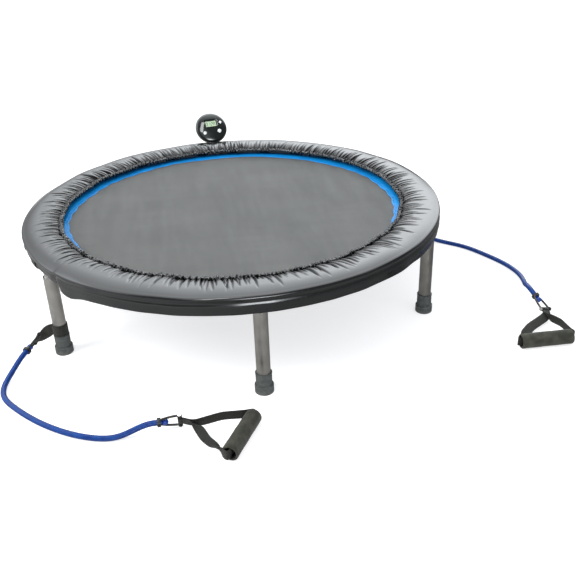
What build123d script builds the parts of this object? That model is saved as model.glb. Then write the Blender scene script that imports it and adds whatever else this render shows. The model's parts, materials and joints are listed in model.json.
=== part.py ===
from build123d import *
import os
from math import asin, cos, degrees, radians, sin

# Mini trampoline with a counter and two resistance bands.
# Millimetres, +Z up, +Y towards the counter. The origin is on the floor under the ring's centre.

os.makedirs("parts", exist_ok=True)

# Steel frame
RING_RADIUS = 466.0
RING_HEIGHT = 199.5
RING_TUBE_RADIUS = 12.7
RING_TUBE_WALL = 1.5
LEG_COUNT = 6
FIRST_LEG_ANGLE = 30.0
LEG_RADIUS = 14.0
LEG_WALL = 1.5
LEG_TOP = 183.4
BOSS_RADIUS = 11.0
STUD_RADIUS = 5.0
STUD_LENGTH = 30.0
INSERT_LENGTH = 24.0
THREAD_CLEARANCE = 0.05
GAP = 0.1

# Rubber feet
FOOT_RADIUS = 19.0
FOOT_SLEEVE_RADIUS = 16.2
FOOT_STEP = 18.0
FOOT_HEIGHT = 45.0
FOOT_FLOOR = 6.0

# Jump mat, its edge band and the elastic suspension
MAT_RADIUS = 420.0
MAT_BOTTOM = 201.5
MAT_THICKNESS = 1.2
EDGE_BAND_INNER_RADIUS = 379.0
EDGE_BAND_THICKNESS = 0.8
EDGE_BAND_UNDERSIDE_RADIUS = 400.0
SUSPENSION_COUNT = 30
WEBBING_WIDTH = 25.0
WEBBING_THICKNESS = 1.2
WIRE_RADIUS = 2.5
WIRE_INNER_BAR = 428.0
WIRE_OUTER_BAR = 441.0
WIRE_RING_WIDTH = 35.0
WIRE_CORNER = 4.5
LOOP_CLEARANCE = 0.3
BELT_THICKNESS = 2.0
BELT_CLEARANCE = 0.2

# Padded cover around the rim
COVER_RADIUS = 482.5
COVER_INNER_RADIUS = 394.0
COVER_TOP = 228.0
COVER_HEM = 184.0
COVER_SKIN = 1.0
COVER_UNDERSIDE = 213.6
COVER_CORNER = 8.5
FOAM_INNER_RADIUS = 403.0
FOAM_BOTTOM = 214.8
CORD_RADIUS = 1.5
HEM_WIDTH = 5.0
HEM_HEIGHT = 5.5

# Counter on its bracket, behind the rear leg
COUNTER_TURN = 10.0
COUNTER_RADIUS = 46.0
COUNTER_SHELL = 2.2
# The crowns of the two shells from the middle outwards: share of the rim's radius, height.
FRONT_CROWN = [(0.0, 15.0), (0.44, 14.2), (0.76, 11.0)]
REAR_CROWN = [(0.0, -17.0), (0.52, -16.4), (0.80, -12.5)]
COUNTER_TILT = 38.0
COUNTER_OFFSET = 50.5
COUNTER_HEIGHT = 252.0
PIVOT_OFFSET = 41.0
PIVOT_HEIGHT = 207.5
PIVOT_RADIUS = 2.0
LUG_RADIUS = 5.0
LUG_HALF_WIDTH = 5.0
FORK_HALF_WIDTH = 10.0
CLAMP_BOTTOM = 152.0
CLAMP_TOP = 176.0
CLAMP_WALL = 4.0
CLAMP_SCREW_RADIUS = 2.5
WINDOW_CENTRE = 11.0
WINDOW_WIDTH = 32.0
WINDOW_HEIGHT = 17.5
LENS_WIDTH = 38.0
LENS_HEIGHT = 24.5
LENS_SEAT = 8.0
LENS_THICKNESS = 1.5
LENS_CORNER = 3.0
PANEL_CENTRE = 4.3
PANEL_THICKNESS = 2.2
BOARD_RADIUS = 34.0
BOARD_BOTTOM = 0.4
BOARD_TOP = 2.0
SWITCH_SIZE = 5.0
SWITCH_HEIGHT = 2.4
BATTERY_PLACE = 6.0
BATTERY_COVER_RADIUS = 12.5
BATTERY_COVER_INSIDE = -14.4
CELL_RADIUS = 10.0
CASE_SCREW_CIRCLE = 38.3
CASE_SCREW_RADIUS = 1.2
CASE_SCREW_HEAD_RADIUS = 2.5
BUTTON_TRAVEL = 1.0
BUTTON_PROUD = 1.0
BUTTON_FLANGE = 1.1
BUTTON_BOTTOM = BOARD_TOP + SWITCH_HEIGHT + BUTTON_TRAVEL + GAP
FLANGE_TOP = 6.8
GUIDE_WALL = 1.3
GUIDE_BOTTOM = 7.0
# Each button: place across, place up, cap radius.
BUTTONS = {
    "mode_button": (27.5, 10.5, 4.0),
    "set_button": (19.5, -16.0, 5.5),
    "reset_button": (-24.0, -17.5, 4.8),
}

# Resistance bands: link, tube, handle
LINK_LENGTH = 38.0
LINK_HALF_WIDTH = 16.5
LINK_ROD_RADIUS = 2.2
LINK_LUG_RADIUS = 4.6
EYE_RADIUS = 8.6
EYE_LENGTH = 6.0
PIN_RADIUS = 2.5
PIN_HALF_LENGTH = 19.0
PIN_HEAD_RADIUS = 3.8
PIN_HEAD_THICKNESS = 1.8
LUG_LENGTH = 4.4
TUBE_RADIUS = 5.5
TUBE_BORE_RADIUS = 3.0
TUBE_START = 33.4
TUBE_STRAIGHT_END = 48.0
BEAD_RADIUS = 6.3
BEAD_PLACE = 27.0
STRAP_WIDTH = 25.0
STRAP_THICKNESS = 1.8
TAIL_WIDTH = 23.6
STRAP_BOTTOM = 46.0
HANDLE_STRAP_WIDTH = 20.0
HANDLE_STRAP_THICKNESS = 1.6
GRIP_LENGTH = 112.0
GRIP_RADIUS = 16.0
GRIP_BORE_RADIUS = 12.0
CORE_BORE_RADIUS = 10.8
CORE_LENGTH = 108.0
STRAP_BEND = 7.0
STRAP_OVERHANG = 17.5
RUNNING_CLEARANCE = 0.05

# Where each band's parts lie when it rests on the floor.
LEFT_BAND = {
    "leg_angle": 210.0,
    "anchor": (-455.5, -231.0, 38.0),
    "anchor_aim": (-0.47, -0.86, -0.18),
    "anchor_pin": (0.45, -0.36, 0.80),
    "tube": [
        (-500.0, -312.0, 13.0),
        (-510.0, -350.0, 7.0),
        (-505.0, -388.0, 6.3),
        (-480.0, -428.0, 6.3),
        (-438.0, -475.0, 6.3),
        (-386.0, -519.0, 6.3),
        (-331.0, -550.0, 6.3),
        (-280.0, -559.5, 7.5),
    ],
    "handle": (-167.0, -552.0, 21.5),
    "handle_aim": (-1.0, 0.0, 0.0),
    "handle_pin": (0.0, -0.41, 0.91),
    "grip_centre": (-59.5, -608.5, 16.3),
    "grip_axis": (0.494, 0.869, 0.0),
}
RIGHT_BAND = {
    "leg_angle": 30.0,
    "anchor": (444.0, 201.0, 38.0),
    "anchor_aim": (0.80, -0.60, -0.10),
    "anchor_pin": (0.0, 0.0, 1.0),
    "tube": [
        (516.0, 147.0, 20.0),
        (560.0, 114.0, 7.0),
        (608.0, 69.0, 6.3),
        (652.0, -2.0, 6.3),
        (678.0, -63.0, 6.3),
        (686.0, -132.0, 8.0),
        (668.0, -195.0, 19.0),
    ],
    "handle": (662.0, -312.0, 15.0),
    "handle_aim": (-0.277, 0.831, 0.479),
    "handle_pin": (0.80, 0.50, -0.33),
    "grip_centre": (605.0, -430.5, 16.3),
    "grip_axis": (1.0, -0.035, 0.0),
}


def save(name, solids):
    """Writes one node; a node of several pieces is a group of separate solids."""
    pieces = solids if isinstance(solids, list) else [solids]
    shape = pieces[0] if len(pieces) == 1 else Compound(children=pieces)
    export_step(shape, f"parts/{name}.step")


def turned(outline, corners=None, corner_radius=0.0):
    """Turns a closed (radius, height) outline around the vertical axis."""
    face = Plane.XZ * make_face(Polyline(*outline, close=True))
    for radius, height in corners or []:
        near = Vector(radius, 0, height)
        vertex = min(face.vertices(), key=lambda v: (Vector(v) - near).length)
        face = fillet(vertex, corner_radius)
    return revolve(face, Axis.Z)


def pipe(outer, inner, bottom, top):
    """A vertical tube on the origin."""
    wall = Circle(outer) - Circle(inner)
    return Pos(0, 0, bottom) * extrude(wall, top - bottom)


def rod(radius, bottom, top):
    """A vertical round bar on the origin."""
    return Pos(0, 0, bottom) * extrude(Circle(radius), top - bottom)


def around(solid, count, first_angle):
    """Copies a solid evenly around the vertical axis."""
    return [Rot(0, 0, first_angle + 360 / count * i) * solid for i in range(count)]


def unit(values):
    """The unit vector along the given values."""
    return Vector(*values).normalized()


# ---------------------------------------------------------------- steel frame


def frame_ring():
    """The hollow steel ring that carries everything."""
    tube = Torus(RING_RADIUS, RING_TUBE_RADIUS)
    hollow = Torus(RING_RADIUS, RING_TUBE_RADIUS - RING_TUBE_WALL)
    return Pos(0, 0, RING_HEIGHT) * (tube - hollow)


def leg_stud():
    """A boss shaped to the ring's underside, with the stud that the leg screws onto."""
    boss = Pos(RING_RADIUS, 0, 0) * rod(BOSS_RADIUS, LEG_TOP + GAP, RING_HEIGHT)
    boss -= Pos(0, 0, RING_HEIGHT) * Torus(RING_RADIUS, RING_TUBE_RADIUS)
    boss = boss.solids().sort_by(Axis.Z)[0]
    stud = Pos(RING_RADIUS, 0, 0) * rod(STUD_RADIUS, LEG_TOP - STUD_LENGTH, LEG_TOP + GAP)
    return boss + stud


def leg():
    """A round tube leg."""
    tube = pipe(LEG_RADIUS, LEG_RADIUS - LEG_WALL, FOOT_FLOOR, LEG_TOP)
    return Pos(RING_RADIUS, 0, 0) * tube


def leg_insert():
    """The threaded plug in the top of a leg."""
    plug = pipe(
        LEG_RADIUS - LEG_WALL,
        STUD_RADIUS + THREAD_CLEARANCE,
        LEG_TOP - INSERT_LENGTH,
        LEG_TOP,
    )
    return Pos(RING_RADIUS, 0, 0) * plug


def rubber_foot():
    """A stepped rubber cup with a lip at the step and at the mouth."""
    lip = 0.5
    outline = [
        (0, 0),
        (FOOT_RADIUS - 1, 0),
        (FOOT_RADIUS, 1),
        (FOOT_RADIUS, FOOT_STEP - 1),
        (FOOT_RADIUS - 1, FOOT_STEP),
        (FOOT_SLEEVE_RADIUS, FOOT_STEP + lip),
        (FOOT_SLEEVE_RADIUS, FOOT_HEIGHT - 3),
        (FOOT_SLEEVE_RADIUS + lip, FOOT_HEIGHT - 2.5),
        (FOOT_SLEEVE_RADIUS + lip, FOOT_HEIGHT),
        (LEG_RADIUS, FOOT_HEIGHT),
        (LEG_RADIUS, FOOT_FLOOR),
        (0, FOOT_FLOOR),
    ]
    return Pos(RING_RADIUS, 0, 0) * turned(outline)


# ------------------------------------------------------- mat and suspension


def edge_band():
    """The folded band that binds the mat's edge, wide above and narrow below."""
    top = MAT_BOTTOM + MAT_THICKNESS + EDGE_BAND_THICKNESS
    rim = MAT_RADIUS + EDGE_BAND_THICKNESS
    outline = [
        (EDGE_BAND_INNER_RADIUS, top),
        (rim, top),
        (rim, MAT_BOTTOM - EDGE_BAND_THICKNESS),
        (EDGE_BAND_UNDERSIDE_RADIUS, MAT_BOTTOM - EDGE_BAND_THICKNESS),
        (EDGE_BAND_UNDERSIDE_RADIUS, MAT_BOTTOM),
        (MAT_RADIUS, MAT_BOTTOM),
        (MAT_RADIUS, MAT_BOTTOM + MAT_THICKNESS),
        (EDGE_BAND_INNER_RADIUS, MAT_BOTTOM + MAT_THICKNESS),
    ]
    return turned(outline)


def edge_tab():
    """A webbing tab sewn under the mat's edge and folded around a wire ring's inner bar."""
    bore = WIRE_RADIUS + LOOP_CLEARANCE
    tail_start = EDGE_BAND_UNDERSIDE_RADIUS + 2
    tail_length = WIRE_INNER_BAR - tail_start
    tail = Pos(tail_start + tail_length / 2, 0) * Rectangle(tail_length, 2 * WEBBING_THICKNESS)
    loop = Pos(WIRE_INNER_BAR, 0) * Circle(bore + WEBBING_THICKNESS)
    face = tail + loop - Pos(WIRE_INNER_BAR, 0) * Circle(bore)
    placed = Plane((0, 0, RING_HEIGHT), x_dir=(1, 0, 0), z_dir=(0, -1, 0)) * face
    return extrude(placed, WEBBING_WIDTH / 2, both=True)


def wire_ring():
    """A closed rectangular wire ring between a tab and an elastic band."""
    centre = (WIRE_INNER_BAR + WIRE_OUTER_BAR) / 2
    depth = WIRE_OUTER_BAR - WIRE_INNER_BAR
    path = RectangleRounded(depth, WIRE_RING_WIDTH, WIRE_CORNER).wire()
    path = Pos(centre, 0, RING_HEIGHT) * path
    section = Plane(path @ 0, z_dir=path % 0) * Circle(WIRE_RADIUS)
    return sweep(section, path=path)


def belt_outline(tube_radius, bar_radius):
    """The outline of a belt pulled around the ring tube and a wire ring's outer bar."""
    distance = RING_RADIUS - WIRE_OUTER_BAR
    lean = asin((tube_radius - bar_radius) / distance)
    up = (-sin(lean), cos(lean))
    bar = (WIRE_OUTER_BAR, 0)
    tube = (RING_RADIUS, 0)
    corners = [
        (bar[0] + bar_radius * up[0], bar_radius * up[1]),
        (tube[0] + tube_radius * up[0], tube_radius * up[1]),
        (tube[0] + tube_radius * up[0], -tube_radius * up[1]),
        (bar[0] + bar_radius * up[0], -bar_radius * up[1]),
    ]
    middle = make_face(Polyline(*corners, close=True))
    return middle + Pos(*bar) * Circle(bar_radius) + Pos(*tube) * Circle(tube_radius)


def tension_band():
    """An elastic band looped around the ring tube and a wire ring."""
    tube = RING_TUBE_RADIUS + BELT_CLEARANCE
    bar = WIRE_RADIUS + LOOP_CLEARANCE
    face = belt_outline(tube + BELT_THICKNESS, bar + BELT_THICKNESS) - belt_outline(tube, bar)
    placed = Plane((0, 0, RING_HEIGHT), x_dir=(1, 0, 0), z_dir=(0, -1, 0)) * face
    return extrude(placed, WEBBING_WIDTH / 2, both=True)


# ------------------------------------------------------------- padded cover


def pad_cover():
    """The vinyl skirt: top, side wall and a short underside, with a cord channel at each edge."""
    rise = 7.0
    flap_radius = 452.0
    left = COVER_INNER_RADIUS
    skin = COVER_SKIN
    outline = [
        (flap_radius, COVER_UNDERSIDE),
        (left, COVER_UNDERSIDE),
        (left, COVER_TOP - rise),
        (left + 2 * rise, COVER_TOP),
        (COVER_RADIUS, COVER_TOP),
        (COVER_RADIUS, COVER_HEM),
        (COVER_RADIUS - HEM_WIDTH, COVER_HEM),
        (COVER_RADIUS - HEM_WIDTH, COVER_HEM + HEM_HEIGHT),
        (COVER_RADIUS - skin, COVER_HEM + HEM_HEIGHT),
        (COVER_RADIUS - skin, COVER_TOP - skin),
        (left + 2 * rise + skin / 2, COVER_TOP - skin),
        (left + HEM_WIDTH + skin, COVER_TOP - rise),
        (left + HEM_WIDTH + skin, COVER_UNDERSIDE + skin),
        (flap_radius, COVER_UNDERSIDE + skin),
    ]
    face = Plane.XZ * make_face(Polyline(*outline, close=True))
    for corner, radius in (
        ((COVER_RADIUS, COVER_TOP), COVER_CORNER),
        ((COVER_RADIUS - skin, COVER_TOP - skin), COVER_CORNER - skin),
    ):
        near = Vector(corner[0], 0, corner[1])
        vertex = min(face.vertices(), key=lambda v: (Vector(v) - near).length)
        face = fillet(vertex, radius)
    skirt = revolve(face, Axis.Z)
    for radius, height in (inner_cord_place(), hem_cord_place()):
        skirt -= Pos(0, 0, height) * Torus(radius, CORD_RADIUS)
    return skirt


def inner_cord_place():
    """Radius and height of the elastic cord in the ruffled inner edge."""
    return COVER_INNER_RADIUS + HEM_WIDTH / 2 + 0.5, COVER_UNDERSIDE + 3.5


def hem_cord_place():
    """Radius and height of the elastic cord in the bottom hem."""
    return COVER_RADIUS - HEM_WIDTH / 2, COVER_HEM + HEM_HEIGHT / 2


def elastic_cord(place):
    """A closed elastic cord inside its channel."""
    radius, height = place
    return Pos(0, 0, height) * Torus(radius, CORD_RADIUS)


def pad_foam():
    """The foam ring that lies on the tension bands under the cover."""
    outer = COVER_RADIUS - COVER_SKIN - 0.5
    top = COVER_TOP - COVER_SKIN - 0.2
    outline = [
        (FOAM_INNER_RADIUS, FOAM_BOTTOM),
        (FOAM_INNER_RADIUS, COVER_TOP - 8.0),
        (FOAM_INNER_RADIUS + 7.0, top),
        (outer, top),
        (outer, FOAM_BOTTOM),
    ]
    return turned(outline, corners=[(outer, top)], corner_radius=COVER_CORNER - COVER_SKIN)


# ------------------------------------------------------------------ counter
# The counter is drawn with its face towards +Z, then tilted back and set on its bracket.


def counter_place():
    """Where the counter's own axes sit at rest."""
    tilt = radians(COUNTER_TILT)
    centre = (0, RING_RADIUS + COUNTER_OFFSET, COUNTER_HEIGHT)
    face = Plane(centre, x_dir=(1, 0, 0), z_dir=(0, -cos(tilt), sin(tilt)))
    return bracket_turn() * Location(face)


def bracket_turn():
    """Turns the bracket and counter a little around the rear leg."""
    return Pos(0, RING_RADIUS, 0) * Rot(0, 0, COUNTER_TURN) * Pos(0, -RING_RADIUS, 0)


def dome(points):
    """Turns a smooth curve from the axis to the rim, closed back along z = 0."""
    rim = points[-1]
    curve = Spline(*points, tangents=[(1, 0), (0, -1 if points[0][1] > 0 else 1)])
    face = make_face([curve, Line(rim, (0, 0)), Line((0, 0), points[0])])
    return revolve(Plane.XZ * face, Axis.Z)


def crown(profile, inset):
    """One half of the counter's outer form, moved in by an inset."""
    rim = COUNTER_RADIUS - inset
    side = 1 if profile[0][1] > 0 else -1
    return dome([(share * rim, height - side * inset) for share, height in profile] + [(rim, 0)])


def button_reach(name):
    """How far a button's top stands from the middle plane, proud of the crown around it."""
    across, up, radius = BUTTONS[name]
    probe = Pos(across, up, 0) * rod(radius, 0, 30) & crown(FRONT_CROWN, 0)
    return probe.bounding_box().max.Z + BUTTON_PROUD


def case_screw_places():
    """The three case screws, evenly around the counter's axis."""
    return [Rot(0, 0, 90 + 120 * i) * Pos(CASE_SCREW_CIRCLE, 0, 0) for i in range(3)]


def counter_front():
    """The glossy front shell: window ledge, button guides and screw bosses."""
    shell = crown(FRONT_CROWN, 0) - crown(FRONT_CROWN, COUNTER_SHELL)
    mid_wall = crown(FRONT_CROWN, COUNTER_SHELL / 2)
    ledge_margin = 5.0
    ledge_bottom = 5.5
    ledge_block = Pos(0, WINDOW_CENTRE, ledge_bottom) * extrude(
        Rectangle(LENS_WIDTH + ledge_margin, LENS_HEIGHT + ledge_margin), 9.0
    )
    shell += ledge_block & mid_wall
    for across, up, radius in BUTTONS.values():
        guide = Pos(across, up, 0) * rod(radius + GUIDE_WALL, GUIDE_BOTTOM, 16.0)
        shell += guide & mid_wall
    for place in case_screw_places():
        shell += place * rod(2.8, GAP, 12.0) & mid_wall
    pocket = extrude(RectangleRounded(LENS_WIDTH, LENS_HEIGHT, LENS_CORNER), 10)
    window = extrude(Rectangle(WINDOW_WIDTH, WINDOW_HEIGHT), 10)
    shell -= Pos(0, WINDOW_CENTRE, LENS_SEAT) * pocket
    shell -= Pos(0, WINDOW_CENTRE, 0) * window
    for across, up, radius in BUTTONS.values():
        shell -= Pos(across, up, 0) * rod(radius + RUNNING_CLEARANCE, 2, 20)
    for place in case_screw_places():
        shell -= place * rod(CASE_SCREW_RADIUS, 0, 6.0)
    return shell


def counter_back():
    """The rear shell: battery opening, screw bosses and the lug for the tilt pin."""
    shell = crown(REAR_CROWN, 0) - crown(REAR_CROWN, COUNTER_SHELL)
    mid_wall = crown(REAR_CROWN, COUNTER_SHELL / 2)
    for place in case_screw_places():
        shell += place * rod(4.0, -16.0, 0) & mid_wall
    shell -= Pos(0, BATTERY_PLACE, 0) * rod(BATTERY_COVER_RADIUS, -30, -10)
    for place in case_screw_places():
        shell -= place * rod(CASE_SCREW_HEAD_RADIUS + 0.2, -30, -5)
        shell -= place * rod(CASE_SCREW_RADIUS + GAP, -6, 1)
    return shell + lug_on_back()


def pivot_in_counter():
    """The tilt pin's centre, in the counter's own axes."""
    tilt = radians(COUNTER_TILT)
    back = PIVOT_OFFSET - COUNTER_OFFSET
    down = PIVOT_HEIGHT - COUNTER_HEIGHT
    return back * sin(tilt) + down * cos(tilt), -back * cos(tilt) + down * sin(tilt)


def lug_on_back():
    """The lug under the rear shell, bored for the tilt pin."""
    up, out = pivot_in_counter()
    side = Plane((-LUG_HALF_WIDTH, 0, 0), x_dir=(0, 1, 0), z_dir=(1, 0, 0))
    root = [(up, out + LUG_RADIUS), (up, out - LUG_RADIUS), (-30, -14.2), (-36, -9.0)]
    shape = make_hull((Pos(up, out) * Circle(LUG_RADIUS)).edges() + Polyline(*root[2:]).edges())
    lug = extrude(side * shape, 2 * LUG_HALF_WIDTH) - crown(REAR_CROWN, COUNTER_SHELL)
    bore = Plane((-20, up, out), x_dir=(0, 1, 0), z_dir=(1, 0, 0))
    return lug - extrude(bore * Circle(PIVOT_RADIUS + RUNNING_CLEARANCE), 40)


def display_lens():
    """The clear window over the display."""
    size = RectangleRounded(LENS_WIDTH - 2 * GAP, LENS_HEIGHT - 2 * GAP, LENS_CORNER)
    return Pos(0, WINDOW_CENTRE, LENS_SEAT) * extrude(size, LENS_THICKNESS)


def display_panel():
    """The liquid crystal panel behind the window ledge."""
    margin = 5.0
    panel = Box(WINDOW_WIDTH + margin, WINDOW_HEIGHT + margin, PANEL_THICKNESS)
    return Pos(0, WINDOW_CENTRE, PANEL_CENTRE) * panel


def circuit_board():
    """The round circuit board."""
    return rod(BOARD_RADIUS, BOARD_BOTTOM, BOARD_TOP)


def key_switch(across, up):
    """A square tact switch under a button."""
    body = Box(SWITCH_SIZE, SWITCH_SIZE, SWITCH_HEIGHT)
    return Pos(across, up, BOARD_TOP + SWITCH_HEIGHT / 2) * body


def button(name):
    """A button: a domed cap with a flange that keeps it in its guide."""
    across, up, radius = BUTTONS[name]
    top = button_reach(name)
    outline = [
        (0, BUTTON_BOTTOM),
        (radius + BUTTON_FLANGE, BUTTON_BOTTOM),
        (radius + BUTTON_FLANGE, FLANGE_TOP),
        (radius, FLANGE_TOP),
        (radius, top - 0.9),
        (radius * 0.75, top - 0.25),
        (0, top),
    ]
    return Pos(across, up, 0) * turned(outline)


def coin_cell():
    """The coin cell, against its cover."""
    outer_face = BATTERY_COVER_INSIDE + 0.2
    return Pos(0, BATTERY_PLACE, 0) * rod(CELL_RADIUS, outer_face, outer_face + 3.2)


def battery_cover():
    """The round cover in the rear shell, with a slot for a coin."""
    disc = rod(BATTERY_COVER_RADIUS - GAP, -30, BATTERY_COVER_INSIDE)
    cover = Pos(0, BATTERY_PLACE, 0) * disc & crown(REAR_CROWN, 0)
    slot = Pos(0, BATTERY_PLACE, -16.8) * Box(14, 1.6, 1.6)
    return cover - slot


def case_screw():
    """A case screw, headed at the back."""
    head = rod(CASE_SCREW_HEAD_RADIUS, -7.0, -5.0)
    return head + rod(CASE_SCREW_RADIUS, -5.0, 5.0)


def tilt_pin():
    """The pin through the fork and the lug, headed at both ends."""
    reach = FORK_HALF_WIDTH
    centre = (-reach, RING_RADIUS + PIVOT_OFFSET, PIVOT_HEIGHT)
    line = Plane(centre, x_dir=(0, 1, 0), z_dir=(1, 0, 0))
    shank = extrude(line * Circle(PIVOT_RADIUS), 2 * reach)
    heads = extrude(line * Circle(PIVOT_RADIUS + 1.5), -1.2)
    far = Plane((reach, centre[1], centre[2]), x_dir=(0, 1, 0), z_dir=(1, 0, 0))
    heads += extrude(far * Circle(PIVOT_RADIUS + 1.5), 1.2)
    return bracket_turn() * (shank + heads)


def counter_bracket():
    """A split clamp on the rear leg, an arm outwards and a post ending in a fork."""
    outer = LEG_RADIUS + CLAMP_WALL
    clamp = Pos(0, RING_RADIUS, 0) * pipe(outer, LEG_RADIUS, CLAMP_BOTTOM, CLAMP_TOP)
    ear_centre = RING_RADIUS - outer - 4.0
    ears = Pos(0, ear_centre, (CLAMP_BOTTOM + CLAMP_TOP) / 2) * Box(12, 14, CLAMP_TOP - CLAMP_BOTTOM)
    ears -= Pos(0, RING_RADIUS, 0) * rod(LEG_RADIUS, CLAMP_BOTTOM, CLAMP_TOP)
    post_y = RING_RADIUS + PIVOT_OFFSET
    arm_length = post_y - RING_RADIUS - LEG_RADIUS - 2
    arm_centre = RING_RADIUS + LEG_RADIUS + 2 + arm_length / 2
    arm = Pos(0, arm_centre, CLAMP_BOTTOM + 6) * Box(18, arm_length, 12)
    side = Plane((-FORK_HALF_WIDTH, post_y, 0), x_dir=(0, 1, 0), z_dir=(1, 0, 0))
    post_height = PIVOT_HEIGHT - CLAMP_BOTTOM
    post = Pos(0, CLAMP_BOTTOM + post_height / 2) * Rectangle(2 * LUG_RADIUS, post_height)
    post += Pos(0, PIVOT_HEIGHT) * Circle(LUG_RADIUS)
    fork = extrude(side * post, 2 * FORK_HALF_WIDTH)
    mouth = LUG_HALF_WIDTH + 0.15
    fork -= Pos(0, post_y, PIVOT_HEIGHT + 6) * Box(2 * mouth, 30, 28)
    fork -= extrude(side * (Pos(0, PIVOT_HEIGHT) * Circle(PIVOT_RADIUS)), 2 * FORK_HALF_WIDTH)
    body = clamp + ears + arm + fork
    body -= Pos(0, ear_centre, (CLAMP_BOTTOM + CLAMP_TOP) / 2) * Box(2.5, 18, 40)
    body -= clamp_screw_line(Circle(CLAMP_SCREW_RADIUS), -20, 20)
    return bracket_turn() * body


def clamp_screw_line(section, start, end):
    """Extrudes a section across the clamp's ears."""
    ear_centre = RING_RADIUS - LEG_RADIUS - CLAMP_WALL - 5.0
    height = (CLAMP_BOTTOM + CLAMP_TOP) / 2
    line = Plane((start, ear_centre, height), x_dir=(0, 1, 0), z_dir=(1, 0, 0))
    return extrude(line * section, end - start)


def clamp_screw():
    """The screw that closes the clamp, with a hexagon head."""
    head = clamp_screw_line(RegularPolygon(4.5, 6), -9.5, -6.0)
    return bracket_turn() * (head + clamp_screw_line(Circle(CLAMP_SCREW_RADIUS), -6.0, 8.0))


# --------------------------------------------------------- resistance bands


def squared(direction, aim):
    """The direction with its part along the aim taken out, made unit length."""
    aim = unit(aim)
    direction = Vector(*direction)
    return (direction - aim * direction.dot(aim)).normalized()


def link_plane(centre, aim, pin):
    """A link's own axes: X from the pin to the eye, Y along the pin."""
    across = squared(pin, aim)
    return Plane(Vector(*centre), x_dir=unit(aim), z_dir=unit(aim).cross(across))


def link():
    """A cast triangular link: an eye for the tube, two rods and two lugs for the pin."""
    along = Plane.YZ
    body = extrude(along.offset(LINK_LENGTH - EYE_LENGTH / 2) * Circle(EYE_RADIUS), EYE_LENGTH)
    for side in (1, -1):
        path = Spline(
            (3.4, side * LINK_HALF_WIDTH, 0),
            (13, side * (LINK_HALF_WIDTH - 0.9), 0),
            (27, side * (LINK_HALF_WIDTH - 4.6), 0),
            (LINK_LENGTH - 1, side * (EYE_RADIUS - 1.4), 0),
        )
        section = Plane(path @ 0, z_dir=path % 0) * Circle(LINK_ROD_RADIUS)
        body += sweep(section, path=path)
        start = side * LINK_HALF_WIDTH - LUG_LENGTH / 2
        body += across_link(start, LINK_LUG_RADIUS, LUG_LENGTH)
    body -= across_link(-PIN_HALF_LENGTH - 5, PIN_RADIUS, 2 * PIN_HALF_LENGTH + 10)
    bore = along.offset(LINK_LENGTH - 10) * Circle(TUBE_RADIUS + 2 * RUNNING_CLEARANCE)
    return body - extrude(bore, 20)


def across_link(start, radius, length):
    """A round bar along a link's pin direction."""
    plane = Plane((0, start, 0), x_dir=(1, 0, 0), z_dir=(0, 1, 0))
    return extrude(plane * Circle(radius), length)


def link_pin():
    """The steel pin across a link's lugs, headed at both ends."""
    pin = across_link(-PIN_HALF_LENGTH, PIN_RADIUS, 2 * PIN_HALF_LENGTH)
    pin += across_link(-PIN_HALF_LENGTH - PIN_HEAD_THICKNESS, PIN_HEAD_RADIUS, PIN_HEAD_THICKNESS)
    return pin + across_link(PIN_HALF_LENGTH, PIN_HEAD_RADIUS, PIN_HEAD_THICKNESS)


def end_bead():
    """The bead that keeps the tube from pulling through the eye, with a shank in its bore."""
    shank = Plane.YZ.offset(BEAD_PLACE) * Circle(TUBE_BORE_RADIUS - RUNNING_CLEARANCE)
    return Pos(BEAD_PLACE, 0, 0) * Sphere(BEAD_RADIUS) + extrude(shank, 18)


def at_link(centre, aim, pin, solid):
    """Puts a solid drawn in a link's own axes in its place."""
    return link_plane(centre, aim, pin).location * solid


def tube(band):
    """The hollow latex tube from the anchor link's eye to the handle link's eye."""
    start, aim = Vector(*band["anchor"]), unit(band["anchor_aim"])
    finish, back = Vector(*band["handle"]), unit(band["handle_aim"])
    first = start + aim * TUBE_STRAIGHT_END
    last = finish + back * TUBE_STRAIGHT_END
    path = Wire(
        [
            Line(start + aim * TUBE_START, first),
            Spline(first, *band["tube"], last, tangents=[aim, -back], tangent_scalars=[1, 1]),
            Line(last, finish + back * TUBE_START),
        ]
    )
    section = Plane(path @ 0, z_dir=aim) * (Circle(TUBE_RADIUS) - Circle(TUBE_BORE_RADIUS))
    return sweep(section, path=path)


def flat_strap(start, finish, width, thickness):
    """Lofts a strap between two ends of (centre, direction along, direction of its width).

    The width turns evenly on the way, by the shorter way round."""
    steps = 4
    (first, first_along, first_across), (last, last_along, last_across) = start, finish
    if first_across.dot(last_across) < 0:
        last_across = -last_across
    faces = []
    for step in range(steps + 1):
        share = step / steps
        along = (first_along * (1 - share) + last_along * share).normalized()
        across = squared(first_across * (1 - share) + last_across * share, along)
        centre = first * (1 - share) + last * share
        faces.append(Plane(centre, x_dir=across, z_dir=along) * Rectangle(width, thickness))
    return loft(faces)


def pin_loop(centre, pin, width, thickness):
    """The webbing's turn around a link pin."""
    start = Vector(*centre) - unit(pin) * (width / 2)
    plane = Plane(start, z_dir=unit(pin))
    bore = PIN_RADIUS + RUNNING_CLEARANCE
    return extrude(plane * (Circle(bore + thickness) - Circle(bore)), width)


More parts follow.
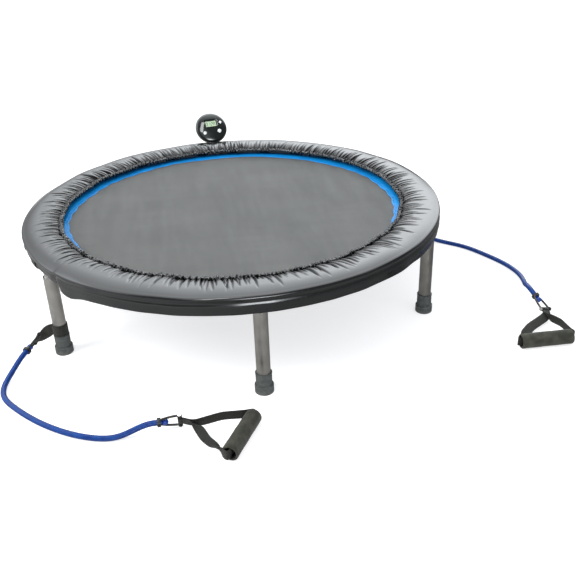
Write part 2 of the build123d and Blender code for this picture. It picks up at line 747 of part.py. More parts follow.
def leg_strap(band):
    """The webbing around a leg, its doubled tail and the loop that holds the anchor link."""
    angle = radians(band["leg_angle"])
    leg_axis = Vector(RING_RADIUS * cos(angle), RING_RADIUS * sin(angle), 0)
    inner = LEG_RADIUS + RUNNING_CLEARANCE
    collar = Pos(leg_axis) * pipe(
        inner + STRAP_THICKNESS, inner, STRAP_BOTTOM, STRAP_BOTTOM + STRAP_WIDTH
    )
    anchor = Vector(*band["anchor"])
    pin = squared(band["anchor_pin"], band["anchor_aim"])
    outward = (Vector(anchor.X, anchor.Y, 0) - leg_axis).normalized()
    middle = STRAP_BOTTOM + STRAP_WIDTH / 2
    root = leg_axis + outward * (inner + STRAP_THICKNESS / 2) + Vector(0, 0, middle)
    arrival = squared(anchor - root, pin)
    tip = anchor - arrival * (PIN_RADIUS + STRAP_THICKNESS / 2)
    tail = flat_strap(
        (root, outward, Vector(0, 0, 1)),
        (tip, arrival, pin),
        TAIL_WIDTH,
        2 * STRAP_THICKNESS,
    )
    tail -= Pos(leg_axis) * rod(inner, 0, 120)
    bore_plane = Plane(anchor - pin * 30, z_dir=pin)
    tail -= extrude(bore_plane * Circle(PIN_RADIUS + RUNNING_CLEARANCE), 60)
    return collar + tail + pin_loop(anchor, pin, STRAP_WIDTH, STRAP_THICKNESS)


def handle_strap(band):
    """The handle's webbing: around the link pin, down both legs and through the grip."""
    anchor = Vector(*band["handle"])
    pin = squared(band["handle_pin"], band["handle_aim"])
    axis = unit(band["grip_axis"])
    centre = Vector(*band["grip_centre"])
    normal = (centre - anchor).cross(axis).normalized()
    if normal.Z < 0:
        normal = -normal
    reach = GRIP_LENGTH / 2 + STRAP_OVERHANG
    run_in = 24.0
    ends = [centre - axis * reach, centre + axis * reach]
    joins = [end + (anchor - end).normalized() * run_in for end in ends]
    path = FilletPolyline(joins[0], ends[0], ends[1], joins[1], radius=STRAP_BEND)
    section = Plane(path @ 0, x_dir=normal, z_dir=path % 0)
    strap = sweep(section * Rectangle(HANDLE_STRAP_WIDTH, HANDLE_STRAP_THICKNESS), path=path)
    offset = PIN_RADIUS + HANDLE_STRAP_THICKNESS / 2
    for join, end in zip(joins, ends):
        arrival = squared(anchor - join, pin)
        tip = anchor - arrival * offset
        along = (join - end).normalized()
        strap += flat_strap(
            (join, along, normal),
            (tip, arrival, pin),
            HANDLE_STRAP_WIDTH,
            HANDLE_STRAP_THICKNESS,
        )
    bore_plane = Plane(anchor - pin * 30, z_dir=pin)
    strap -= extrude(bore_plane * Circle(PIN_RADIUS + RUNNING_CLEARANCE), 60)
    return strap + pin_loop(anchor, pin, HANDLE_STRAP_WIDTH, HANDLE_STRAP_THICKNESS)


def along_grip(band, length, outer, inner):
    """A tube centred on the grip's axis."""
    axis = unit(band["grip_axis"])
    start = Vector(*band["grip_centre"]) - axis * (length / 2)
    return extrude(Plane(start, z_dir=axis) * (Circle(outer) - Circle(inner)), length)


def foam_grip(band):
    """The foam sleeve, rounded at its ends."""
    sleeve = along_grip(band, GRIP_LENGTH, GRIP_RADIUS, GRIP_BORE_RADIUS)
    rims = sleeve.edges().filter_by(GeomType.CIRCLE)
    outer_rims = [edge for edge in rims if edge.radius > GRIP_BORE_RADIUS + 1]
    return fillet(outer_rims, 2.5)


def save_band(side, band):
    """Writes the nodes of one resistance band."""
    anchor = (band["anchor"], band["anchor_aim"], band["anchor_pin"])
    handle = (band["handle"], band["handle_aim"], band["handle_pin"])
    save(f"{side}_leg_strap", leg_strap(band))
    save(f"{side}_anchor_link", at_link(*anchor, link()))
    save(f"{side}_anchor_pin", at_link(*anchor, link_pin()))
    save(f"{side}_tube", tube(band))
    save(f"{side}_tube_beads", [at_link(*anchor, end_bead()), at_link(*handle, end_bead())])
    save(f"{side}_handle_link", at_link(*handle, link()))
    save(f"{side}_handle_pin", at_link(*handle, link_pin()))
    save(f"{side}_handle_strap", handle_strap(band))
    save(f"{side}_grip_core", along_grip(band, CORE_LENGTH, GRIP_BORE_RADIUS, CORE_BORE_RADIUS))
    save(f"{side}_grip_foam", foam_grip(band))


def save_frame():
    """Writes the ring, the legs and the feet."""
    save("frame_ring", frame_ring())
    save("leg_studs", around(leg_stud(), LEG_COUNT, FIRST_LEG_ANGLE))
    save("leg_inserts", around(leg_insert(), LEG_COUNT, FIRST_LEG_ANGLE))
    for number, solid in enumerate(around(leg(), LEG_COUNT, FIRST_LEG_ANGLE), start=1):
        save(f"leg_{number}", solid)
    save("rubber_feet", around(rubber_foot(), LEG_COUNT, FIRST_LEG_ANGLE))


def save_mat():
    """Writes the mat and the parts that hang it in the ring."""
    save("jump_mat", rod(MAT_RADIUS, MAT_BOTTOM, MAT_BOTTOM + MAT_THICKNESS))
    save("mat_edge_band", edge_band())
    save("edge_tabs", around(edge_tab(), SUSPENSION_COUNT, 0))
    save("wire_rings", around(wire_ring(), SUSPENSION_COUNT, 0))
    save("tension_bands", around(tension_band(), SUSPENSION_COUNT, 0))


def save_cover():
    """Writes the padded cover."""
    save("pad_foam", pad_foam())
    save("pad_cover", pad_cover())
    save("inner_cord", elastic_cord(inner_cord_place()))
    save("hem_cord", elastic_cord(hem_cord_place()))


def save_counter():
    """Writes the counter and its bracket."""
    place = counter_place()
    save("counter_front", place * counter_front())
    save("counter_back", place * counter_back())
    save("display_lens", place * display_lens())
    save("display_panel", place * display_panel())
    save("circuit_board", place * circuit_board())
    save("key_switches", [place * key_switch(x, y) for x, y, _ in BUTTONS.values()])
    for name in BUTTONS:
        save(name, place * button(name))
    save("coin_cell", place * coin_cell())
    save("battery_cover", place * battery_cover())
    save("case_screws", [place * spot * case_screw() for spot in case_screw_places()])
    save("counter_bracket", counter_bracket())
    save("clamp_screw", clamp_screw())
    save("tilt_pin", tilt_pin())


save_frame()
save_mat()
save_cover()
save_counter()
save_band("left", LEFT_BAND)
save_band("right", RIGHT_BAND)
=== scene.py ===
import json
from math import cos, hypot, pi, radians, sin, sqrt

import bpy
import numpy as np
from mathutils import Matrix, Vector


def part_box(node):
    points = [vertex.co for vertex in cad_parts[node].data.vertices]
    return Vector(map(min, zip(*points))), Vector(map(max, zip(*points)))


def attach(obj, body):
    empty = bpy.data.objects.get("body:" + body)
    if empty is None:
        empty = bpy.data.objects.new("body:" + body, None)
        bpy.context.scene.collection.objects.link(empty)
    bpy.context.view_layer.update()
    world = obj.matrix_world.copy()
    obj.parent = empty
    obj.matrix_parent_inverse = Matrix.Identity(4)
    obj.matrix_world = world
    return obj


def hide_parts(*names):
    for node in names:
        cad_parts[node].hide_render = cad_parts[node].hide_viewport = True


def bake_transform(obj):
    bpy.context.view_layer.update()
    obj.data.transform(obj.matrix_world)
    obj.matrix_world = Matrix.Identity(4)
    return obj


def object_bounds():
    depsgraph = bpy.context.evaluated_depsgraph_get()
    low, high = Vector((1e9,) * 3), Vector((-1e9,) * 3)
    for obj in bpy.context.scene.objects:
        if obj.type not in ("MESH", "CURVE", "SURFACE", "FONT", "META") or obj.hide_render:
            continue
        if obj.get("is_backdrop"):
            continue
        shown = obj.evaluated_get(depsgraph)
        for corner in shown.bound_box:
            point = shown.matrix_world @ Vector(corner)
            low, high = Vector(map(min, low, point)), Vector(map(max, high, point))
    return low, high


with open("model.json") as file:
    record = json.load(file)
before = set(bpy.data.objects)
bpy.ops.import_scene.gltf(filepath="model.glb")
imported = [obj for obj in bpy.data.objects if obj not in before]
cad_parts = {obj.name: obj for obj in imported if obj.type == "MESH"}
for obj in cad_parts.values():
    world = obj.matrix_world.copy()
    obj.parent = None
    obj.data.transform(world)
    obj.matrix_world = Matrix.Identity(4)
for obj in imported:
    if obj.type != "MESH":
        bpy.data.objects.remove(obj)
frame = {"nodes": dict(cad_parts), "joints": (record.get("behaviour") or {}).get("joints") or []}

# Mini trampoline with a counter and two resistance bands. Metres, in the CAD model's frame.

CAD_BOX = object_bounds()
MM = 0.001
UP = Vector((0, 0, 1))
JOINTS = {joint["name"]: joint for joint in frame["joints"]}
RANDOM_SEED = 7
# The cover's own data layer that says how deep in a crease each point lies; the vinyl uses it to
# paint shade into the creases.
CREASE = "crease_depth"


# ------------------------------------------------------------- places from the frame


def vertices_of(node):
    """A CAD node's vertices as an array."""
    mesh = frame["nodes"][node].data
    flat = np.zeros(len(mesh.vertices) * 3, np.float32)
    mesh.vertices.foreach_get("co", flat)
    return flat.reshape(-1, 3).astype(float)


def radii_of(node):
    """The smallest and largest distance of a node from the upright axis."""
    points = vertices_of(node)
    distance = np.hypot(points[:, 0], points[:, 1])
    return distance.min(), distance.max()


def heights_of(node):
    """The lowest and highest point of a node."""
    low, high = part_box(node)
    return low.z, high.z


def joint_place(name):
    """Where a joint's axis passes, and its direction."""
    joint = JOINTS[name]
    return Vector(joint["pos_m"]), Vector(joint["axis"]).normalized()


def span_along(node, origin, axis):
    """How far a node reaches along an axis, from and to, and away from it."""
    offset = vertices_of(node) - np.array(origin)
    along = offset @ np.array(axis)
    away = np.linalg.norm(offset - np.outer(along, np.array(axis)), axis=1)
    return along.min(), along.max(), away.min(), away.max()


# ----------------------------------------------------------------------- mesh tools


def mesh_object(name, points, faces, material, uvs=None, smooth=True):
    """A new mesh object; uvs holds one (u, v) per face corner."""
    mesh = bpy.data.meshes.new(name)
    mesh.from_pydata([tuple(map(float, point)) for point in points], [], faces)
    if uvs is not None:
        layer = mesh.uv_layers.new(name="UVMap")
        layer.data.foreach_set("uv", np.array(uvs, np.float32).ravel())
    mesh.polygons.foreach_set("use_smooth", [smooth] * len(mesh.polygons))
    mesh.update()
    piece = bpy.data.objects.new(name, mesh)
    bpy.context.scene.collection.objects.link(piece)
    piece.data.materials.append(material)
    return piece


def join_meshes(parts):
    """Joins (points, faces) lists into one."""
    points, faces = [], []
    for part_points, part_faces in parts:
        start = len(points)
        points.extend(part_points)
        faces.extend([tuple(start + index for index in face) for face in part_faces])
    return points, faces


def grid_faces(rows, columns, close_rows=False, close_columns=False):
    """Quads of a rows by columns grid of points."""
    row_count = rows if close_rows else rows - 1
    column_count = columns if close_columns else columns - 1
    row, column = np.meshgrid(np.arange(row_count), np.arange(column_count), indexing="ij")
    next_row = (row + 1) % rows
    next_column = (column + 1) % columns
    quads = np.stack(
        [
            row * columns + column,
            row * columns + next_column,
            next_row * columns + next_column,
            next_row * columns + column,
        ],
        axis=-1,
    )
    return quads.reshape(-1, 4).tolist()


def around_z(radius, height, angles):
    """Points at each (radius, height) around the upright axis: arrays of one shape."""
    return np.stack([radius * np.cos(angles), radius * np.sin(angles), height], axis=-1)


def smooth_step(value):
    """0 below 0, 1 above 1 and smooth between."""
    value = np.clip(value, 0, 1)
    return value * value * (3 - 2 * value)


def ring_noise(angles, waves, seed, count=6):
    """Smooth noise around a circle, about -1 to 1, made of a few whole-number waves."""
    draw = np.random.default_rng(seed)
    total = np.zeros_like(angles)
    for _ in range(count):
        frequency = draw.integers(max(1, int(waves * 0.5)), int(waves * 1.6) + 2)
        total += np.sin(frequency * angles + draw.uniform(0, 2 * pi))
    return total / sqrt(count)


def hermite(start, start_pull, finish, finish_pull, steps):
    """Points of a smooth curve between two places with a given pull at each end."""
    points = []
    for step in range(steps + 1):
        t = step / steps
        points.append(
            start * (2 * t**3 - 3 * t**2 + 1)
            + start_pull * (t**3 - 2 * t**2 + t)
            + finish * (-2 * t**3 + 3 * t**2)
            + finish_pull * (t**3 - t**2)
        )
    return points


def ribbon(name, points, acrosses, width, thickness, material, closed=False):
    """A webbing strap along points; acrosses gives the direction of its width at each.

    The section is a flat form with rounded edges. UVs run in metres along and across."""
    edge = [(0.5, 0.0), (0.49, 0.34), (0.46, 0.5), (0.25, 0.5), (0.0, 0.5)]
    section = edge + [(-x, y) for x, y in edge[-2::-1]]
    section += [(x, -y) for x, y in section[-2:0:-1]]
    count = len(points)
    lengths = [0.0]
    for index in range(1, count):
        lengths.append(lengths[-1] + (points[index] - points[index - 1]).length)
    total = lengths[-1] + ((points[0] - points[-1]).length if closed else 0)
    verts, rows = [], count
    for index in range(count):
        before = points[index - 1] if index or closed else points[0]
        after = points[(index + 1) % count] if index < count - 1 or closed else points[-1]
        along = (after - before).normalized()
        across = (acrosses[index] - along * acrosses[index].dot(along)).normalized()
        out = along.cross(across)
        for x, y in section:
            verts.append(points[index] + across * (x * width) + out * (y * thickness))
    columns = len(section)
    faces = grid_faces(rows, columns, close_rows=closed, close_columns=True)
    if not closed:
        faces.append(list(range(columns))[::-1])
        faces.append([(rows - 1) * columns + index for index in range(columns)])
    uvs = []
    for face in faces:
        first_row = min(index // columns for index in face)
        wraps = closed and first_row == 0 and max(index // columns for index in face) == rows - 1
        for index in face:
            row, column = divmod(index, columns)
            along = total if wraps and row == 0 else lengths[row]
            uvs.append((along, section[column][0] * width))
    return mesh_object(name, verts, faces, material, uvs)


# A stitch's share of its length, thickness and lift at each of its four sections.
STITCH_FORM = ((0, 0.35, -0.7), (0.18, 1, 0.25), (0.82, 1, 0.25), (1, 0.35, -0.7))


def thread(points, normals, radius, stitch, gap):
    """Stitches along a path: short rounded bars that dip into the cloth at their ends."""
    parts = []
    sides = 6
    lengths = np.cumsum([0] + [(b - a).length for a, b in zip(points, points[1:])])
    flat, flat_normals = (np.array([list(p) for p in values]) for values in (points, normals))

    def along(values, at):
        return Vector([np.interp(at, lengths, values[:, axis]) for axis in range(3)])

    place = gap / 2
    while place + stitch < lengths[-1]:
        verts = []
        for share, size, lift in STITCH_FORM:
            at = place + share * stitch
            normal = along(flat_normals, at).normalized()
            ahead, behind = along(flat, at + radius), along(flat, at - radius)
            side = (ahead - behind).normalized().cross(normal)
            centre = along(flat, at) + normal * (radius * lift)
            for corner in range(sides):
                angle = 2 * pi * corner / sides
                verts.append(centre + (side * cos(angle) + normal * sin(angle)) * (radius * size))
        faces = grid_faces(4, sides, close_columns=True)
        faces.append(list(range(sides))[::-1])
        faces.append([3 * sides + corner for corner in range(sides)])
        parts.append((verts, faces))
        place += stitch + gap
    return parts


def turned_mesh(name, outline, material, steps=240, axis_place=None, wobble=None, closed=True):
    """Turns an outline of (radius, height) around an axis; either may hold one value per step.

    wobble(radius, height, angle) moves the points. An open outline gets a cap at each end."""
    angles = np.linspace(0, 2 * pi, steps, endpoint=False)
    radius = np.array([point[0] + 0 * angles for point in outline])
    height = np.array([point[1] + 0 * angles for point in outline])
    spin = angles + 0 * radius
    if wobble is not None:
        radius, height = wobble(radius, height, spin)
    points = around_z(radius, height, spin).reshape(-1, 3)
    if axis_place is not None:
        turn = np.array(axis_place.to_3x3())
        points = points @ turn.T + np.array(axis_place.translation)
    faces = grid_faces(len(outline), steps, close_rows=closed, close_columns=True)
    if not closed:
        last = (len(outline) - 1) * steps
        faces += [list(range(steps))[::-1], list(range(last, last + steps))]
    return mesh_object(name, points, faces, material)


def settle(piece, body, node=None):
    """Says which body a piece rides on and the CAD node it replaces."""
    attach(piece, body)
    if node:
        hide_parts(node)


# ------------------------------------------------------------------------ materials


class Tree:
    """A node tree and short ways to add nodes to it."""

    def __init__(self, tree):
        self.nodes, self.links = tree.nodes, tree.links

    def put(self, socket, value):
        """Links a socket, or sets its value."""
        if isinstance(value, bpy.types.NodeSocket):
            self.links.new(value, socket)
        else:
            socket.default_value = value

    def node(self, kind, values, **settings):
        """Adds a node; values go to its inputs by name or number."""
        made = self.nodes.new(kind)
        for key, value in settings.items():
            setattr(made, key, value)
        for key, value in values.items():
            self.put(made.inputs[key], value)
        return made

    def maths(self, operation, first, second=0.0):
        """One arithmetic step."""
        made = self.node("ShaderNodeMath", {0: first, 1: second}, operation=operation)
        return made.outputs[0]

    def ranged(self, value, low, high, to_low=0.0, to_high=1.0):
        """Maps a value from one range to another, clamped."""
        values = {"Value": value, 1: low, 2: high, 3: to_low, 4: to_high}
        return self.node("ShaderNodeMapRange", values).outputs[0]

    def blend(self, share, first, second):
        """A number between two."""
        values = {0: share, 2: first, 3: second}
        return self.node("ShaderNodeMix", values, data_type="FLOAT").outputs[0]

    def mix(self, share, first, second):
        """A colour between two."""
        made = self.node("ShaderNodeMix", {}, data_type="RGBA")
        self.put(made.inputs[0], share)
        for socket, colour in ((made.inputs[6], first), (made.inputs[7], second)):
            self.put(socket, colour if isinstance(colour, bpy.types.NodeSocket) else (*colour, 1))
        return made.outputs[2]


class Shade(Tree):
    """One procedural material: a Principled shader and the nodes that feed it."""

    def __init__(self, name, colour, roughness, **settings):
        self.material = bpy.data.materials.new(name)
        self.material.use_nodes = True
        super().__init__(self.material.node_tree)
        self.shader = self.nodes["Principled BSDF"]
        self.place = self.nodes.new("ShaderNodeTexCoord").outputs["Object"]
        self.normal = None
        self.set("Base Color", (*colour, 1))
        self.set("Roughness", roughness)
        for key, value in settings.items():
            self.set(key.replace("_", " ").title().replace("Ior", "IOR"), value)

    def set(self, name, value):
        """Sets one input of the shader."""
        self.put(self.shader.inputs[name], value)

    def use_uv(self):
        """Textures follow the mesh's UVs, which are in metres."""
        self.place = self.nodes.new("ShaderNodeTexCoord").outputs["UV"]

    def noise(self, scale, detail=3.0, stretch=None):
        """Cloudy noise from 0 to 1."""
        place = self.place
        if stretch:
            values = {"Vector": place, "Scale": stretch}
            place = self.node("ShaderNodeMapping", values).outputs["Vector"]
        values = {"Vector": place, "Scale": scale, "Detail": detail, "Roughness": 0.5}
        return self.node("ShaderNodeTexNoise", values).outputs["Fac"]

    def cells(self, scale):
        """Distance to the nearest of many scattered points."""
        values = {"Vector": self.place, "Scale": scale}
        return self.node("ShaderNodeTexVoronoi", values).outputs["Distance"]

    def axis(self, number):
        """One coordinate of the place."""
        return self.node("ShaderNodeSeparateXYZ", {0: self.place}).outputs[number]

    def wave(self, coordinate, pitch):
        """A sine along a coordinate, from -1 to 1."""
        return self.maths("SINE", self.maths("MULTIPLY", coordinate, 2 * pi / pitch))

    def pattern(self, kind, scale, *rest):
        """A pattern by name: noise, cells, or stripes across the first axis."""
        if kind == "stripes":
            return self.wave(self.axis(0), scale)
        return self.cells(scale) if kind == "cells" else self.noise(scale, *rest)

    def bump(self, height, strength, depth):
        """Adds relief of a given depth in metres on top of any other."""
        values = {"Height": height, "Strength": strength, "Distance": depth}
        if self.normal is not None:
            values["Normal"] = self.normal
        self.normal = self.node("ShaderNodeBump", values).outputs["Normal"]
        self.set("Normal", self.normal)
        self.set("Coat Normal", self.normal)

    def over(self, tone, pattern, low, high, share, colour):
        """Lays a colour over a tone where a pattern is high, up to a share."""
        return self.mix(self.ranged(pattern, low, high, 0, share), tone, colour)

    def weave(self, pitch, other_pitch=None):
        """The relief of a plain weave: threads over and under each other."""
        first = self.wave(self.axis(0), 2 * pitch)
        second = self.wave(self.axis(1), 2 * (other_pitch or pitch))
        return self.maths("MULTIPLY", first, second)


def surface(name, tone, rough, relief=None, metal=None, **settings):
    """A material whose tone, roughness, metal and relief are plain or follow a pattern.

    A pattern comes with the range it is read over and what that gives; the relief's comes
    with its strength and its depth in millimetres."""
    shade = Shade(name, (0, 0, 0), 0.5, **settings)
    if len(tone) == 3:
        shade.set("Base Color", (*tone, 1))
    else:
        share = shade.ranged(shade.pattern(*tone[0]), *tone[1:3])
        shade.set("Base Color", shade.mix(share, *tone[3:]))
    for key, drive in (("Roughness", rough), ("Metallic", metal)):
        if isinstance(drive, tuple):
            drive = shade.ranged(shade.pattern(*drive[0]), *drive[1:])
        if drive is not None:
            shade.set(key, drive)
    if relief:
        shade.bump(shade.pattern(*relief[0]), relief[1], relief[2] * MM)
    return shade.material


def woven_mat():
    """Woven polypropylene: flat yarns with a dull sheen and a mottled grey."""
    shade = Shade("woven_mat", (0.12, 0.12, 0.12), 0.62, specular_ior_level=0.32)
    weave = shade.weave(0.9 * MM)
    clouds = shade.noise(7.0, 5.0)
    streaks = shade.noise(40.0, 3.0, stretch=(1.0, 0.12, 1.0))
    cross_streaks = shade.noise(40.0, 3.0, stretch=(0.12, 1.0, 1.0))
    specks = shade.noise(420.0, 2.0)
    tone = shade.mix(shade.ranged(clouds, 0.3, 0.7), (0.046, 0.049, 0.047), (0.082, 0.084, 0.081))
    tone = shade.over(tone, streaks, 0.35, 0.75, 0.45, (0.125, 0.126, 0.125))
    tone = shade.over(tone, cross_streaks, 0.4, 0.8, 0.4, (0.05, 0.052, 0.05))
    tone = shade.over(tone, specks, 0.45, 0.7, 0.4, (0.15, 0.15, 0.15))
    tone = shade.mix(shade.ranged(weave, -1, 0.2, 0.35, 0), tone, (0.03, 0.03, 0.03))
    shade.set("Base Color", tone)
    shade.set("Roughness", shade.ranged(specks, 0.3, 0.7, 0.5, 0.7))
    shade.set("Sheen Weight", 0.05)
    shade.bump(weave, 0.5, 0.25 * MM)
    shade.bump(streaks, 0.2, 0.3 * MM)
    return shade.material


def blue_binding():
    """Blue coated binding cloth, a little shiny, darker and dustier in places."""
    shade = Shade("blue_binding", (0.01, 0.2, 0.68), 0.5, specular_ior_level=0.25)
    clouds = shade.noise(18.0, 4.0)
    grain = shade.noise(900.0, 2.0)
    tone = shade.mix(shade.ranged(clouds, 0.3, 0.7), (0.002, 0.17, 0.52), (0.004, 0.27, 0.70))
    tone = shade.over(tone, grain, 0.4, 0.8, 0.3, (0.03, 0.38, 0.8))
    shade.set("Base Color", tone)
    shade.set("Roughness", shade.ranged(clouds, 0.3, 0.7, 0.36, 0.5))
    shade.bump(shade.weave(0.5 * MM), 0.3, 0.08 * MM)
    shade.bump(shade.noise(60.0, 3.0), 0.35, 1.2 * MM)
    return shade.material


def glossy_vinyl():
    """Soft PVC sheet: near black, glossy, with a fine grain, handling creases and painted shade in
    its pleats' creases.
    """
    shade = Shade("glossy_vinyl", (0.008, 0.009, 0.009), 0.16, specular_ior_level=0.7)
    clouds = shade.noise(9.0, 3.0)
    creases = shade.noise(30.0, 4.0)
    scuffs = shade.noise(160.0, 4.0, stretch=(1.0, 0.25, 1.0))
    tone = shade.mix(shade.ranged(clouds, 0.3, 0.7), (0.006, 0.007, 0.007), (0.011, 0.012, 0.012))
    tone = shade.over(tone, scuffs, 0.64, 0.8, 0.3, (0.035, 0.037, 0.038))
    # Painted shade: deep in the creases the colour goes near black and the reflection dims.
    crease_shade = shade.node("ShaderNodeAttribute", {}, attribute_name=CREASE).outputs["Fac"]
    shade.set("Base Color", shade.mix(crease_shade, tone, (0.001, 0.001, 0.001)))
    shade.set("Specular IOR Level", shade.ranged(crease_shade, 0.15, 0.9, 0.7, 0.08))
    shade.set("Roughness", shade.ranged(scuffs, 0.3, 0.75, 0.09, 0.2))
    shade.bump(creases, 0.16, 1.0 * MM)
    shade.bump(shade.noise(1500.0, 2.0), 0.07, 0.05 * MM)
    return shade.material


def foot_rubber():
    """Matt grey rubber, dusty and scuffed towards the floor."""
    shade = Shade("foot_rubber", (0.05, 0.056, 0.054), 0.62)
    dust = shade.noise(130.0, 5.0)
    low = shade.ranged(shade.axis(2), 0.0, 10 * MM, 0.55, 0.0)
    tone = shade.mix(shade.ranged(dust, 0.35, 0.75), (0.05, 0.056, 0.054), (0.085, 0.093, 0.089))
    tone = shade.mix(shade.maths("MULTIPLY", low, dust), tone, (0.17, 0.17, 0.16))
    shade.set("Base Color", tone)
    shade.bump(shade.noise(1100.0, 3.0), 0.35, 0.1 * MM)
    return shade.material


def webbing(name, dark, light, pitch=1.3 * MM):
    """Woven tape: a rib across it and two yarns along it, by UVs in metres."""
    shade = Shade(name, dark, 0.75, sheen_weight=0.08, sheen_roughness=0.5, specular_ior_level=0.3)
    shade.use_uv()
    weave = shade.weave(pitch, pitch * 0.8)
    ribs = shade.wave(shade.axis(0), pitch)
    fuzz = shade.noise(1400.0, 3.0)
    tone = shade.mix(shade.ranged(weave, -0.6, 1.0), dark, light)
    tone = shade.over(tone, fuzz, 0.5, 0.8, 0.5, [c * 1.6 for c in light])
    shade.set("Base Color", tone)
    shade.bump(weave, 0.8, 0.35 * MM)
    shade.bump(ribs, 0.35, 0.2 * MM)
    shade.bump(fuzz, 0.3, 0.1 * MM)
    return shade.material


def grip_foam():
    """Black closed cell foam: matt, with fine cells and paler handled patches."""
    shade = Shade("grip_foam", (0.012, 0.013, 0.012), 0.8, sheen_weight=0.1, specular_ior_level=0.3)
    pores = shade.cells(1100.0)
    wear = shade.noise(60.0, 4.0)
    tone = shade.mix(shade.ranged(wear, 0.4, 0.75), (0.026, 0.027, 0.02), (0.062, 0.062, 0.046))
    tone = shade.mix(shade.ranged(pores, 0.0, 0.35, 0.7, 0), tone, (0.002, 0.002, 0.002))
    shade.set("Base Color", tone)
    shade.bump(pores, 0.6, 0.3 * MM)
    shade.bump(shade.noise(220.0, 3.0, stretch=(0.4, 1.0, 0.4)), 0.3, 0.4 * MM)
    return shade.material


def clear_window():
    """A clear plastic window: it shows what lies behind it, under a thin reflection."""
    shade = Shade("clear_window", (0.9, 0.95, 0.92), 0.03)
    smears = shade.noise(150.0, 4.0)
    nodes, links = shade.nodes, shade.links
    see_through = nodes.new("ShaderNodeBsdfTransparent")
    see_through.inputs["Color"].default_value = (0.93, 0.96, 0.94, 1)
    shine = nodes.new("ShaderNodeBsdfGlossy")
    links.new(shade.ranged(smears, 0.4, 0.8, 0.02, 0.14), shine.inputs["Roughness"])
    edge = nodes.new("ShaderNodeFresnel")
    blend = nodes.new("ShaderNodeMixShader")
    links.new(edge.outputs[0], blend.inputs[0])
    links.new(see_through.outputs[0], blend.inputs[1])
    links.new(shine.outputs[0], blend.inputs[2])
    links.new(blend.outputs[0], nodes["Material Output"].inputs["Surface"])
    return shade.material


def moulded_black(name, roughness, grain, level):
    """Black moulded plastic with a fine texture and faint flow marks."""
    flow = ("noise", 70.0, 4.0)
    return surface(
        name,
        (flow, 0, 1, (level * 0.8, level * 0.8, level * 0.85), (level * 1.4,) * 3),
        (flow, 0.3, 0.7, roughness * 0.8, roughness * 1.3),
        (("noise", 1800.0, 2.0), 0.3, grain),
    )


LINES, SCRATCHES = ("noise", 900.0, 3.0, (1.0, 1.0, 0.02)), ("noise", 500.0, 3.0, (0.05, 1.0, 1.0))
SMUDGES, HAZE, RUB = ("noise", 45.0, 4.0), ("noise", 400.0, 3.0), ("noise", 120.0, 5.0)
BLOOM, TWIST, TRACKS = ("noise", 80.0, 5.0), ("noise", 2500.0, 1.0), ("stripes", 1.6 * MM)
SPOTS, PORES, MARKS = ("cells", 500.0), ("cells", 420.0), ("noise", 1500.0, 2.0)

